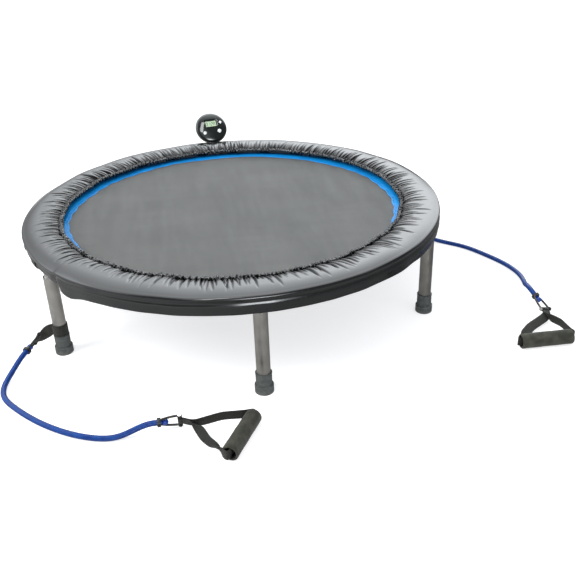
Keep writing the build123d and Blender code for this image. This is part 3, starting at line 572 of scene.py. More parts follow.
MATERIALS = {
    "mat": woven_mat(),
    "blue": blue_binding(),
    "vinyl": glossy_vinyl(),
    "rubber": foot_rubber(),
    "strap": webbing("black_webbing", (0.007, 0.0075, 0.006), (0.034, 0.035, 0.027)),
    "elastic": webbing("black_elastic", (0.008, 0.008, 0.009), (0.045, 0.045, 0.047), 2.2 * MM),
    "grip": grip_foam(),
    "window": clear_window(),
    "bracket": moulded_black("bracket_plastic", 0.45, 0.08, 0.02),
    "core": moulded_black("core_plastic", 0.4, 0.06, 0.015),
    "switch": moulded_black("switch_plastic", 0.35, 0.05, 0.08),
    # Satin nickel on tube: fine marks along its length and faint smudges.
    "satin": surface(
        "satin_steel",
        (SMUDGES, 0.35, 0.7, (0.46, 0.445, 0.41), (0.56, 0.545, 0.51)),
        (SMUDGES, 0.3, 0.7, 0.28, 0.42), (LINES, 0.15, 0.05), 1.0, anisotropic=0.4,
    ),
    # Zinc plated wire and screws, with crystals and dull spots.
    "zinc": surface(
        "zinc_steel", (SPOTS, 0.1, 0.8, (0.45, 0.45, 0.45), (0.63, 0.63, 0.6)),
        (SPOTS, 0.1, 0.8, 0.3, 0.5), (("noise", 1200.0, 2.0), 0.1, 0.04), 1.0,
    ),
    # Black powder coat with orange peel.
    "coat": surface(
        "powder_coat", (0.022, 0.022, 0.023), (("noise", 60.0), 0.3, 0.7, 0.36, 0.5),
        (("noise", 700.0, 1.0), 0.3, 0.1),
    ),
    # Twisted sewing thread.
    "blue_thread": surface(
        "blue_thread", (TWIST, 0, 1, (0.006, 0.072, 0.27), (0.014, 0.168, 0.63)), 0.6,
        (TWIST, 0.4, 0.1), sheen_weight=0.3,
    ),
    # Pale open cell foam.
    "foam": surface(
        "open_foam", (PORES, 0, 1, (0.35, 0.34, 0.3), (0.66, 0.64, 0.57)), 0.9, (PORES, 0.7, 0.6)
    ),
    # Blue latex tube, waxy, with chalky bloom and draw lines.
    "latex": surface(
        "latex_tube", (BLOOM, 0.35, 0.75, (0.002, 0.024, 0.15), (0.006, 0.05, 0.23)),
        (BLOOM, 0.3, 0.75, 0.32, 0.55), (("noise", 600.0, 3.0), 0.15, 0.12),
        specular_ior_level=0.3, subsurface_weight=0.06,
    ),
    # Hard blue plastic.
    "bead": surface(
        "bead_plastic", (("noise", 150.0, 2.0), 0, 1, (0.006, 0.038, 0.24), (0.012, 0.06, 0.32)),
        0.25, (("noise", 900.0), 0.1, 0.05),
    ),
    # Piano black plastic with hairline scratches and a little dust.
    "case": surface(
        "glossy_case",
        (("noise", 1500.0, 5.0), 0.68, 0.8, (0.009, 0.012, 0.011), (0.0368, 0.039, 0.0383)),
        (SCRATCHES, 0.4, 0.8, 0.05, 0.2), (SCRATCHES, 0.03, 0.02),
        coat_weight=0.6, coat_roughness=0.04,
    ),
    # Cast link with black coating, rubbed through to grey on parts of its rods.
    "link": surface(
        "link_metal", (RUB, 0.56, 0.68, (0.010, 0.010, 0.010), (0.16, 0.15, 0.12)),
        (RUB, 0.3, 0.7, 0.3, 0.45), (("noise", 800.0, 3.0), 0.25, 0.12), (RUB, 0.56, 0.68, 0, 0.8),
    ),
    # Nickel plated steel, turned, with fine rings.
    "pin": surface(
        "plated_pin", (MARKS, 0, 1, (0.52, 0.5, 0.45), (0.7, 0.68, 0.62)),
        (("noise", 90.0), 0.3, 0.7, 0.2, 0.36), (MARKS, 0.1, 0.03), 1.0,
    ),
    # Satin chrome on plastic.
    "chrome": surface(
        "button_chrome", (0.85, 0.86, 0.86), (HAZE, 0.3, 0.7, 0.26, 0.38), (HAZE, 0.05, 0.03), 0.25
    ),
    # The reflective layer of a liquid crystal display, painted with a glow of its own, and its dark
    # segments.
    "display": surface(
        "display_green", (("noise", 60.0, 2.0), 0, 1, (0.56, 0.66, 0.50), (0.68, 0.77, 0.62)), 0.35,
        # Painted light: the display glows though it has no lamp behind it.
        emission_color=(0.62, 0.74, 0.54, 1), emission_strength=0.62,
    ),
    "ink": surface(
        "display_ink", (("noise", 500.0), 0, 1, (0.012, 0.018, 0.012), (0.03, 0.045, 0.03)), 0.4
    ),
    # Green solder mask over copper tracks.
    "circuit": surface(
        "circuit_green", (TRACKS, 0.2, 0.5, (0.008, 0.11, 0.04), (0.03, 0.2, 0.08)), 0.3,
        (TRACKS, 0.2, 0.05),
    ),
}

# The CAD nodes that keep their shape, by the material each one gets.
KEPT_NODES = {
    "coat": "frame_ring",
    "satin": "leg_1 leg_2 leg_3 leg_4 leg_5 leg_6",
    "zinc": "leg_studs leg_inserts wire_rings coin_cell case_screws clamp_screw tilt_pin",
    "rubber": "rubber_feet",
    "core": "inner_cord left_grip_core right_grip_core",
    "case": "counter_front counter_back",
    "window": "display_lens",
    "display": "display_panel",
    "circuit": "circuit_board",
    "switch": "key_switches",
    "chrome": "mode_button set_button reset_button",
    "bracket": "battery_cover counter_bracket",
    "link": "left_anchor_link left_anchor_pin left_handle_link"
    " right_anchor_link right_anchor_pin right_handle_link",
    "latex": "left_tube right_tube",
    "bead": "left_tube_beads right_tube_beads",
    "pin": "left_handle_pin right_handle_pin",
}


def dress_cad_nodes():
    """Gives each kept CAD node its material."""
    for key, nodes in KEPT_NODES.items():
        for node in nodes.split():
            for material_slot in frame["nodes"][node].material_slots:
                material_slot.material = MATERIALS[key]


# ------------------------------------------------------------------ the padded cover

COVER_IN, COVER_OUT = radii_of("pad_cover")
COVER_HEM, COVER_TOP = heights_of("pad_cover")
FOAM_IN, FOAM_OUT = radii_of("pad_foam")
FOAM_LOW, FOAM_HIGH = heights_of("pad_foam")
COVER_COLUMNS = 2300
PLEATS = 300
SHEET = 1.0 * MM
CORNER = 6.0 * MM
SHOULDER_DROP = 6.5 * MM
# The cover's closing seam, and where its tucked-in part begins.
SEAM_ANGLE = radians(217)
TUCK_ANGLE = radians(118)
# How far the wall rises, is pulled in, drops and hangs loose around that seam.
WALL_LIFT, TUCK_PULL, TUCK_DROP, FLAP_HANG = 9.0 * MM, 8.0 * MM, 4.0 * MM, 11.0 * MM


# Points of the cover's section in millimetres: the frill's from its inner edge and top,
# the side wall's from its outer edge and top.
FRILL = (
    (-3.0, -8.6), (-1.6, -7.6), (0.2, -7.2), (1.8, -7.2), (3.4, -7.4), (5.0, -7.9), (6.4, -8.3),
    (7.6, -7.6),
)
WALL = (
    (-0.7, -14.5), (-1.5, -16.5), (-1.7, -18.5), (-1.2, -20.5), (-0.5, -22.5), (0.1, -24.5),
    (0.4, -27.0), (0.3, -30.0), (0.0, -33.5),
)
HEM_RADIUS = 2.6 * MM


def shifted(offsets, radius, height):
    """Offsets in millimetres as points around a radius and height."""
    return [(radius + across * MM, height + up * MM) for across, up in offsets]


def cover_profile():
    """The cover's section from its inner frill over the top to the hem: radius, height."""
    top = COVER_TOP
    points = shifted(FRILL, COVER_IN, top)
    swell_start = COVER_IN + 9 * MM
    flat_end = COVER_OUT - CORNER
    for radius in np.linspace(swell_start, flat_end, 25):
        rise = 1 - (1 - min(1, (radius - swell_start) / (32 * MM))) ** 2
        shoulder = max(0, 1 - (flat_end - radius) / (30 * MM)) ** 2
        points.append((radius, top - 5.6 * MM * (1 - rise) - SHOULDER_DROP * shoulder))
    corner_centre = top - SHOULDER_DROP - CORNER
    for swing in np.radians(np.linspace(35, 90, 8)):
        points.append((flat_end + CORNER * sin(swing), corner_centre + CORNER * cos(swing)))
    points += shifted(WALL, COVER_OUT, top)
    points.append((COVER_OUT - 0.4 * MM, COVER_HEM + 6 * MM))
    for swing in np.radians((0, 45, 90, 135, 180)):
        radius = COVER_OUT - HEM_RADIUS + HEM_RADIUS * cos(swing)
        points.append((radius, COVER_HEM + HEM_RADIUS - HEM_RADIUS * sin(swing)))
    return points


# Sets of creases: share of the pleats, length from and to, depth from and to, half width.
CREASES = (
    (0.0, (28, 66), (3.4, 6.6), 2.2),
    (0.5, (10, 32), (2.0, 4.2), 1.5),
)
DEEPEST_CREASE = 7.0 * MM


def pleat_relief(radius, angle):
    """How far the pleats pull the cover down at each point: narrow creases between puffs."""
    draw = np.random.default_rng(RANDOM_SEED)
    out = radius - (COVER_IN + 5 * MM)
    relief = np.zeros_like(radius)
    columns = radius.shape[1]
    window = int(columns * 0.011) + 2
    wave = np.cos(4 * pi * np.arange(PLEATS) / PLEATS)
    steps = draw.uniform(0.5, 1.5, PLEATS) * (1 + 0.22 * wave)
    ends = np.cumsum(steps) / steps.sum() * 2 * pi
    starts = np.roll(ends, 1)
    starts[0] = 0.0
    for share, length_range, depth_range, width in CREASES:
        for place in starts + (ends - starts) * share:
            length = draw.uniform(*length_range) * MM
            depth = draw.uniform(*depth_range) * MM
            lean = draw.normal(0, 0.10) + 0.10
            half = width * draw.uniform(0.7, 1.3) * MM
            middle = int(place / (2 * pi) * columns)
            near = np.arange(middle - window, middle + window) % columns
            near_radius, near_out = radius[:, near], out[:, near]
            gap = angle[:, near] - place - lean * near_out / near_radius
            across = np.abs((gap + pi) % (2 * pi) - pi) * near_radius
            travel = np.clip(near_out / length, 0, 1)
            taper = (1 - travel) ** 0.6 * smooth_step(near_out / (4 * MM) + 0.6)
            reach = half * (1.1 - 0.45 * travel)
            relief[:, near] -= depth * taper * np.exp(-((across / reach) ** 1.5))
    return -DEEPEST_CREASE * np.tanh(-relief / DEEPEST_CREASE)


def cover_surface(radius, height, angle):
    """Moves the cover's smooth form to its sewn, gathered and creased one."""
    top_side = smooth_step((radius - COVER_IN - 4 * MM) / (3 * MM)) * smooth_step(
        (COVER_OUT - CORNER / 2 - radius) / (14 * MM)
    )
    on_top = height > COVER_TOP - 9 * MM
    relief = pleat_relief(radius, angle) * top_side * on_top
    frill = 1 - smooth_step((radius - COVER_IN - 5 * MM) / (4 * MM))
    ripple = ring_noise(angle, 430, 21) * 0.7 + ring_noise(angle, 250, 22) * 0.6
    crinkle = ring_noise(angle + (radius - COVER_IN) * 2.0, 380, 27) * 0.6
    wander = ring_noise(angle, 26, 23) * 1.3 * MM
    inner = 1 - smooth_step((radius - COVER_IN) / (40 * MM))
    swell = ring_noise(angle, 16, 24) * 0.5 * MM
    outer_wall = smooth_step((radius - COVER_OUT + 10 * MM) / (9 * MM))
    down_wall = np.clip((COVER_TOP - height) / (COVER_TOP - COVER_HEM), 0, 1)
    wall_wave = ring_noise(angle, 30, 25) * 0.6 * MM * down_wall
    beyond = (angle - SEAM_ANGLE - 0.02 * down_wall) / 0.006
    past_seam = 1 / (1 + np.exp(-np.clip(beyond, -60, 60)))
    tuck = (1 - past_seam) * smooth_step((angle - TUCK_ANGLE) / 0.55)
    lifted = smooth_step((angle - radians(150)) / 0.7) * (
        1 - smooth_step((angle - radians(206)) / 0.17)
    )
    flap = past_seam * np.exp(-(((angle - radians(222)) / radians(4.0)) ** 2))
    shoulder = np.clip((radius - COVER_OUT + 26 * MM) / (26 * MM), 0, 1) ** 2
    lift = lifted * WALL_LIFT * down_wall * outer_wall
    pull = tuck * TUCK_PULL * down_wall**1.5 * outer_wall
    drop = tuck * TUCK_DROP * shoulder * (1 - down_wall)
    hang = flap * FLAP_HANG * down_wall * outer_wall
    new_radius = radius + frill * ripple * 1.3 * MM + wander * inner + outer_wall * wall_wave - pull
    new_height = height + relief + frill * (ripple + crinkle) * 2.2 * MM + swell * on_top
    return new_radius, new_height + lift - drop - hang


def padded_cover():
    """The vinyl cover as one closed sheet, pleated by the elastic in its inner edge."""
    outer = cover_profile()
    inside = [
        (COVER_OUT - SHEET - 1.2 * MM, COVER_HEM + 6 * MM),
        (COVER_OUT - SHEET - 2.2 * MM, COVER_TOP - SHOULDER_DROP - CORNER),
        (COVER_OUT - SHEET - 4.5 * MM, COVER_TOP - SHOULDER_DROP - 3.0 * MM),
        (COVER_OUT - 34 * MM, COVER_TOP - SHEET - 0.2 * MM),
        (COVER_IN + 30 * MM, COVER_TOP - SHEET - 0.8 * MM),
        (COVER_IN + 9.5 * MM, COVER_TOP - SHEET - 6.2 * MM),
        (COVER_IN + 6.5 * MM, FOAM_LOW - 0.2 * MM),
        (FOAM_OUT - 28 * MM, FOAM_LOW - 0.2 * MM),
        (FOAM_OUT - 28 * MM, FOAM_LOW - SHEET),
        (COVER_IN + 3 * MM, FOAM_LOW - SHEET),
        (COVER_IN + 0.2 * MM, FOAM_LOW + 1.5 * MM),
        (COVER_IN - 3.2 * MM, COVER_TOP - 9.6 * MM),
    ]
    rows = outer + inside
    cover = turned_mesh(
        "padded_cover", rows, MATERIALS["vinyl"], COVER_COLUMNS, wobble=cover_surface
    )
    smooth_radius, smooth_height = np.array(rows)[:, :1], np.array(rows)[:, 1:]
    spin = np.linspace(0, 2 * pi, COVER_COLUMNS, endpoint=False) + 0 * smooth_radius
    relief = pleat_relief(smooth_radius + 0 * spin, spin)
    # How deep each point lies in a crease, which the vinyl turns into painted shade.
    deep = np.clip(-relief / (3.0 * MM) - 0.1, 0, 1) * (smooth_height > COVER_TOP - 9 * MM)
    layer = cover.data.attributes.new(CREASE, "FLOAT", "POINT")
    layer.data.foreach_set("value", deep.astype(np.float32).ravel())
    settle(cover, "frame", "pad_cover")


def hem_elastic():
    """The elastic cord in the hem, which follows the cover's tuck and seam."""
    size = HEM_RADIUS / 2
    outline = []
    for swing in np.radians(range(0, 360, 45)):
        radius = COVER_OUT - HEM_RADIUS + size * cos(swing)
        outline.append((radius, COVER_HEM + HEM_RADIUS + size * sin(swing)))
    cord = turned_mesh("hem_elastic", outline, MATERIALS["elastic"], 720, wobble=cover_surface)
    settle(cord, "frame", "hem_cord")


def foam_ring():
    """The foam inside the cover, cut a little unevenly."""
    low, high = FOAM_LOW, FOAM_HIGH - 5.5 * MM
    inner, outer = FOAM_IN + 7 * MM, FOAM_OUT - 4 * MM
    outline = [
        (inner, low),
        (inner + 0.8 * MM, low + 1.6 * MM),
        (inner + 42 * MM, high),
        (outer - 28 * MM, high),
        (outer - 4 * MM, high - 5 * MM),
        (outer, high - 6 * MM),
        (outer, low + 1 * MM),
        (outer - 1 * MM, low),
    ]

    def uneven(radius, height, angle):
        wave = ring_noise(angle, 20, 31) * 0.3 * MM
        return radius + wave, height - np.abs(wave) * (height > (low + high) / 2)

    foam = turned_mesh("foam_ring", outline, MATERIALS["foam"], 360, wobble=uneven)
    settle(foam, "frame", "pad_foam")


# -------------------------------------------------------------- mat and suspension

MAT_LOW, MAT_HIGH = heights_of("jump_mat")
MAT_RADIUS = radii_of("jump_mat")[1]
BAND_IN, BAND_OUT = radii_of("mat_edge_band")
BAND_LOW, BAND_HIGH = heights_of("mat_edge_band")
RING_RADIUS = sum(radii_of("frame_ring")) / 2
RING_HEIGHT = sum(heights_of("frame_ring")) / 2
SUSPENSIONS = 30
# Distance of the wire rings' two bars from the upright axis.
INNER_BAR = 428 * MM
OUTER_BAR = 441 * MM
WIRE_GAP = 0.3 * MM
TAB_WIDTH = 24.5 * MM


def mat_relief(radius, angle):
    """The mat's shallow dish and the pull lines towards its tabs."""
    near_edge = smooth_step((radius - 0.6 * MAT_RADIUS) / (0.4 * MAT_RADIUS))
    pull = np.cos(SUSPENSIONS * angle) * 0.15 * MM * near_edge
    sag = -0.5 * MM * (1 - (radius / MAT_RADIUS) ** 2)
    return pull + sag


def jump_sheet():
    """The woven mat as one closed sheet."""
    rings = np.linspace(0.004, 1, 44) * MAT_RADIUS
    rows = [(radius, MAT_HIGH) for radius in rings] + [(radius, MAT_LOW) for radius in rings[::-1]]

    def dished(radius, height, angle):
        return radius, height + mat_relief(radius, angle)

    sheet = turned_mesh(
        "woven_jump_mat", rows, MATERIALS["mat"], 360, wobble=dished, closed=False
    )
    settle(sheet, "mat", "jump_mat")


def band_edge(angle):
    """The blue band's inner edge: cut by hand, so it wanders a little."""
    wander = ring_noise(angle, 9, 41) * 2.4 * MM + ring_noise(angle, 34, 42) * 1.3 * MM
    return BAND_IN + wander


def blue_band():
    """The blue binding, folded over the mat's edge and quilted by its stitching."""
    count = 900
    angles = np.linspace(0, 2 * pi, count, endpoint=False)
    inner = band_edge(angles)
    under = BAND_IN + (BAND_OUT - BAND_IN) * 0.46
    puff = ring_noise(angles, 90, 43) * 0.25 * MM
    rows = []
    for share, lift in (
        (0.0, -0.75), (0.0, -0.15), (0.03, 0.25), (0.08, 0.0), (0.12, -0.35), (0.2, 0.4),
        (0.45, 0.75), (0.7, 0.55), (0.85, 0.35), (0.93, 0.1), (0.985, -0.25),
    ):
        height = BAND_HIGH + lift * MM + puff * (0.1 < share < 0.9)
        rows.append((inner + (BAND_OUT - inner) * share, height))
    rows += [
        (BAND_OUT + 0.1 * MM, (BAND_HIGH + BAND_LOW) / 2),
        (BAND_OUT - 1 * MM, BAND_LOW),
        ((BAND_OUT + under) / 2, BAND_LOW),
        (under, BAND_LOW),
        (under, MAT_LOW + 0.2 * MM),
        (MAT_RADIUS - 1 * MM, MAT_LOW + 0.4 * MM),
        (MAT_RADIUS - 1 * MM, MAT_HIGH - 0.4 * MM),
    ]
    band = turned_mesh("blue_edge_band", rows, MATERIALS["blue"], count)
    settle(band, "mat", "mat_edge_band")


def blue_band_stitching():
    """Two rows of stitches: one beside the band's inner edge, one near the mat's edge."""
    parts = []
    angles = np.linspace(0, 2 * pi, 1201)
    inner = band_edge(angles)
    for share, lift in ((0.12, -0.3), (0.8, 0.5)):
        radius = inner + (BAND_OUT - inner) * share
        path = [Vector(p) for p in around_z(radius, BAND_HIGH + lift * MM + 0 * angles, angles)]
        parts += thread(path, [UP] * len(path), 0.35 * MM, 3.6 * MM, 1.4 * MM)
    points, faces = join_meshes(parts)
    seam = mesh_object("blue_band_stitching", points, faces, MATERIALS["blue_thread"])
    settle(seam, "mat")


def loop_path(first, first_radius, second, second_radius, steps=14):
    """A belt around two round bars at height 0, as (radius, height) points in a section."""
    lean = np.arcsin((second_radius - first_radius) / (second - first))
    path = []
    for angle in np.linspace(pi / 2 + lean, 3 * pi / 2 - lean, steps):
        path.append((first + first_radius * cos(angle), first_radius * sin(angle)))
    for angle in np.linspace(-pi / 2 - lean, pi / 2 + lean, steps):
        path.append((second + second_radius * cos(angle), second_radius * sin(angle)))
    return path


def resampled(path, step):
    """Adds points along a closed path so that none are further apart than a step."""
    fine = []
    for (x0, y0), (x1, y1) in zip(path, path[1:] + path[:1]):
        pieces = max(1, int(hypot(x1 - x0, y1 - y0) / step))
        for piece in range(pieces):
            share = piece / pieces
            fine.append((x0 + (x1 - x0) * share, y0 + (y1 - y0) * share))
    return fine


def tube_radius_of(node):
    """The radius of a ring-shaped node's own tube or wire."""
    low, high = heights_of(node)
    return (high - low) / 2


def straps_around(name, outline, widths, thickness, material, closed=False):
    """One strap at each suspension, along an outline of (radius, height above the ring)."""
    for number in range(SUSPENSIONS):
        turn = Matrix.Rotation(2 * pi * number / SUSPENSIONS, 3, "Z")
        points = [turn @ Vector((radius, 0, RING_HEIGHT + height)) for radius, height in outline]
        acrosses = [turn @ Vector((0, 1, 0))] * len(points)
        yield number, turn, ribbon(
            f"{name}_{number + 1:02d}", points, acrosses, widths[number], thickness,
            MATERIALS[material], closed=closed,
        )


def tension_loops():
    """The elastic loops between the ring and the wire rings."""
    tube_radius = tube_radius_of("frame_ring")
    thickness = 1.8 * MM
    slack = WIRE_GAP + thickness / 2
    path = loop_path(
        OUTER_BAR, tube_radius_of("wire_rings") + slack, RING_RADIUS, tube_radius + slack
    )
    draw = np.random.default_rng(RANDOM_SEED + 1)
    widths = TAB_WIDTH * draw.uniform(0.97, 1.0, SUSPENSIONS)
    loops = straps_around(
        "tension_loop", resampled(path, 3 * MM), widths, thickness, "elastic", closed=True
    )
    for number, turn, loop in loops:
        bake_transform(loop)
        if number == 0:
            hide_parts("tension_bands")


def webbing_tabs():
    """The tabs sewn under the mat's edge, each folded around a wire ring's inner bar."""
    tab_in = radii_of("edge_tabs")[0]
    thickness = 1.1 * MM
    layer = tube_radius_of("wire_rings") + WIRE_GAP + thickness / 2
    near = 0.62 * MM
    leg = [(tab_in, near), ((tab_in + INNER_BAR) / 2, near), (INNER_BAR - 2.2 * layer, near * 1.2)]
    outline = list(leg)
    for swing in np.radians(np.linspace(150, -150, 15)):
        outline.append((INNER_BAR + layer * cos(swing), layer * sin(swing)))
    outline += [(radius, -height) for radius, height in leg[::-1]]
    widths = [TAB_WIDTH] * SUSPENSIONS
    for number, _, tab in straps_around("webbing_tab", outline, widths, thickness, "strap"):
        settle(tab, "mat", None if number else "edge_tabs")


# ------------------------------------------------------------------ resistance bands


def arc_points(centre, axis, start, turn, steps):
    """Points of an arc around an axis, from a start offset through a turn in radians."""
    return [
        centre + Matrix.Rotation(turn * step / steps, 3, axis) @ start for step in range(steps + 1)
    ]


# The straps' widths and thicknesses, and half the gap between two layers sewn together.
LEG_STRAP_WIDTH, LEG_STRAP_THICKNESS = 24.6 * MM, 1.8 * MM
HANDLE_STRAP_WIDTH, HANDLE_STRAP_THICKNESS = 20 * MM, 1.6 * MM
LAYER_GAP = 0.03 * MM
CLEARANCE = 0.1 * MM
# A handle's two layers are sewn together for a length, then bend around the grip's ends.
SEWN_LENGTH = 22 * MM
HANDLE_BEND = 10 * MM
HANDLE_OVERHANG = 11 * MM


def around_pin(anchor, pin, towards, link, thickness, first_side):
    """A strap's turn around its link's pin, between two layers that lie on each other."""
    loop = span_along(link, anchor, pin)[2] + CLEARANCE + thickness / 2
    layer = thickness / 2 + LAYER_GAP
    lift = np.arcsin(layer / loop)
    start = towards * cos(lift) * loop + pin.cross(towards) * (layer * first_side)
    return arc_points(anchor, pin, start, 2 * pi - 2 * lift, 22)


def leg_webbing(side):
    """The webbing sewn around a leg, with a doubled tail that holds the link's pin."""
    leg_place, _ = joint_place(f"{side}_strap_swivel")
    anchor, pin = joint_place(f"{side}_anchor_swing")
    if pin.z < 0:
        pin = -pin
    leg_low, leg_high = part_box("leg_1")
    leg_radius = (leg_high.x - leg_low.x) / 2
    thickness = LEG_STRAP_THICKNESS
    layer = thickness / 2 + LAYER_GAP
    high = heights_of(f"{side}_leg_strap")[1]
    centre = Vector((leg_place.x, leg_place.y, high - 12.5 * MM))
    outward = Vector((anchor.x - centre.x, anchor.y - centre.y, 0)).normalized()
    side_way = UP.cross(outward)
    leg_loop = leg_radius + CLEARANCE + thickness / 2
    root = centre + outward * leg_loop
    arrival = anchor - root
    arrival = (arrival - pin * arrival.dot(pin)).normalized()
    lift = np.arcsin(layer / leg_loop)
    leg_start = outward * cos(lift) * leg_loop + side_way * layer
    around_leg = arc_points(centre, UP, leg_start, 2 * pi - 2 * lift, 40)
    loop = around_pin(anchor, pin, -arrival, f"{side}_anchor_link", thickness, 1)
    pull = (anchor - root).length
    go = hermite(around_leg[-1], outward * pull, loop[0], arrival * pull, 12)
    back = hermite(loop[-1], -arrival * pull, around_leg[0], -outward * pull, 12)
    points = around_leg + go[1:-1] + loop + back[1:-1]
    acrosses = [UP] * len(around_leg)
    acrosses += [UP.lerp(pin, step / 12) for step in range(1, 12)]
    acrosses += [pin] * len(loop)
    acrosses += [pin.lerp(UP, step / 12) for step in range(1, 12)]
    strap = ribbon(
        f"{side}_leg_webbing", points, acrosses, LEG_STRAP_WIDTH, thickness, MATERIALS["strap"],
        closed=True,
    )
    settle(strap, f"{side}_strap", f"{side}_leg_strap")


def leg_twist(leg, pin, normal, end, centre):
    """The direction of the width down one leg of a handle: one leg lies flat, one on edge."""
    along = (leg[-12] - leg[4]).normalized()
    flat = UP.cross(along).normalized()
    if flat.dot(pin) < 0:
        flat = -flat
    if (end - centre).x < 0:
        tilt = radians(30) if centre.x > 0 else radians(8)
        level = flat if flat.x > 0 else -flat
        middle = level * cos(tilt) - UP * sin(tilt)
        middle = middle if middle.dot(pin) > 0 else -middle
    else:
        middle = flat.lerp(UP, 0.92)
    acrosses = []
    for index in range(len(leg)):
        share = index / (len(leg) - 1)
        first = float(smooth_step(np.array((share - 0.12) / 0.2)))
        last = float(smooth_step(np.array((share - 0.5) / 0.22)))
        acrosses.append(pin.lerp(middle, first).lerp(normal, last))
    return acrosses


def handle_webbing(side):
    """The handle's webbing: around the pin, down both legs and through the grip."""
    anchor, pin = joint_place(f"{side}_handle_swing")
    centre, axis = joint_place(f"{side}_grip_spin")
    grip_high = span_along(f"{side}_grip_foam", centre, axis)[1]
    normal = (centre - anchor).cross(axis).normalized()
    if normal.z < 0:
        normal = -normal
    if pin.dot(normal) < 0:
        pin = -pin
    towards = centre - anchor
    towards = (towards - pin * towards.dot(pin)).normalized()
    loop = around_pin(anchor, pin, towards, f"{side}_handle_link", HANDLE_STRAP_THICKNESS, 1)
    bend = HANDLE_BEND
    reach = grip_high + HANDLE_OVERHANG
    ends = [centre + axis * reach, centre - axis * reach]
    if (ends[0] - loop[0]).length > (ends[0] - loop[-1]).length:
        ends.reverse()
    into = (centre - anchor).normalized()
    root = loop[0].lerp(loop[-1], 0.5)
    sewn = root + into * SEWN_LENGTH
    legs = []
    for tip, end in ((loop[0], ends[0]), (loop[-1], ends[1])):
        outward = (end - centre).normalized()
        split = sewn + tip - root
        home = (anchor - end).normalized()
        corner_in = end - outward * bend
        corner_out = end + home * bend * 1.6 - outward * 0.4 * bend
        first = hermite(tip, into * 22 * MM, split, into * 18 * MM, 6)
        sag = outward * 5 * MM + normal * 0.8 * MM
        middle = split.lerp(corner_out, 0.55) + sag
        run = hermite(split, into * 34 * MM, middle, -home * 40 * MM, 8)
        run2 = hermite(middle, -home * 40 * MM, corner_out, -home * 22 * MM, 8)
        pull = -home * 20 * MM + outward * 6 * MM
        turn = hermite(corner_out, pull, corner_in, -outward * 26 * MM, 10)
        legs.append(first + run[1:] + run2[1:] + turn[1:])
    inside = hermite(legs[0][-1], (centre - ends[0]), legs[1][-1], (ends[1] - centre), 14)
    points = loop[::-1][1:-1] + legs[0] + inside[1:-1] + legs[1][::-1]
    acrosses = [pin] * (len(loop) - 2)
    turns = [leg_twist(leg, pin, normal, ends[number], centre) for number, leg in enumerate(legs)]
    acrosses += turns[0] + [normal] * (len(inside) - 2) + turns[1][::-1]
    strap = ribbon(
        f"{side}_handle_webbing", points, acrosses, HANDLE_STRAP_WIDTH, HANDLE_STRAP_THICKNESS,
        MATERIALS["strap"], closed=True,
    )
    settle(strap, f"{side}_handle", f"{side}_handle_strap")


def grip_sleeve(side):
    """The foam grip: soft rounded ends, a slightly uneven skin."""
    centre, axis = joint_place(f"{side}_grip_spin")
    low, high, _, outer = span_along(f"{side}_grip_foam", centre, axis)
    _, _, _, bore = span_along(f"{side}_grip_core", centre, axis)
    soft = 3 * MM
    swings = np.radians(np.linspace(0, 90, 6))
    edge = [(outer - soft + soft * cos(swing), soft * sin(swing)) for swing in swings]
    outline = [(bore, low + 1.2 * MM), (bore + 0.6 * MM, low)]
    outline += [(radius, low + soft - rise) for radius, rise in edge[::-1]]
    outline += [(outer, height) for height in np.linspace(low + 8 * MM, high - 8 * MM, 40)]
    outline += [(radius, high - soft + rise) for radius, rise in edge]
    outline += [(bore + 0.6 * MM, high), (bore, high - 1.2 * MM)]

    def uneven(radius, height, angle):
        skin = (radius - bore) / (outer - bore)
        wave = np.sin(height * 95 + 2 * np.cos(angle)) * np.cos(angle * 2 + height * 60)
        fine = np.sin(height * 610 + 3 * angle) * np.sin(angle * 9 - height * 240)
        return radius + skin * (0.28 * wave + 0.1 * fine - 0.3) * MM, height

    side_way = axis.orthogonal().normalized()
    turn = Matrix((side_way, axis.cross(side_way), axis)).transposed().to_4x4()
    turn.translation = centre
    sleeve = turned_mesh(f"{side}_foam_sleeve", outline, MATERIALS["grip"], 72, turn, uneven)
    settle(sleeve, f"{side}_grip", f"{side}_grip_foam")


# ------------------------------------------------------------------------- counter

SEGMENTS = {
    "0": "abcdef",
    "1": "bc",
    "2": "abged",
    "8": "abcdefg",
}


# Each segment's two ends on a digit 1 wide and 2 high.
BARS = {
    "a": ((0, 2), (1, 2)), "g": ((0, 1), (1, 1)), "d": ((0, 0), (1, 0)),
    "f": ((0, 1), (0, 2)), "b": ((1, 1), (1, 2)), "e": ((0, 0), (0, 1)), "c": ((1, 0), (1, 1)),
}


def segment_plate(name, across, up):
    """One display segment's six corners."""
    thick, gap = 0.11, 0.03
    (x0, y0), (x1, y1) = BARS[name]
    run = (x1 - x0, y1 - y0)
    side = run[::-1]
    length = 1 - gap
    corners = []
    for along, out in (
        (gap, 0), (gap + thick, thick), (length - thick, thick),
        (length, 0), (length - thick, -thick), (gap + thick, -thick),
    ):
        x = x0 + run[0] * along + side[0] * out
        y = y0 + run[1] * along + side[1] * out
        corners.append((across + x, up + y))
    return corners


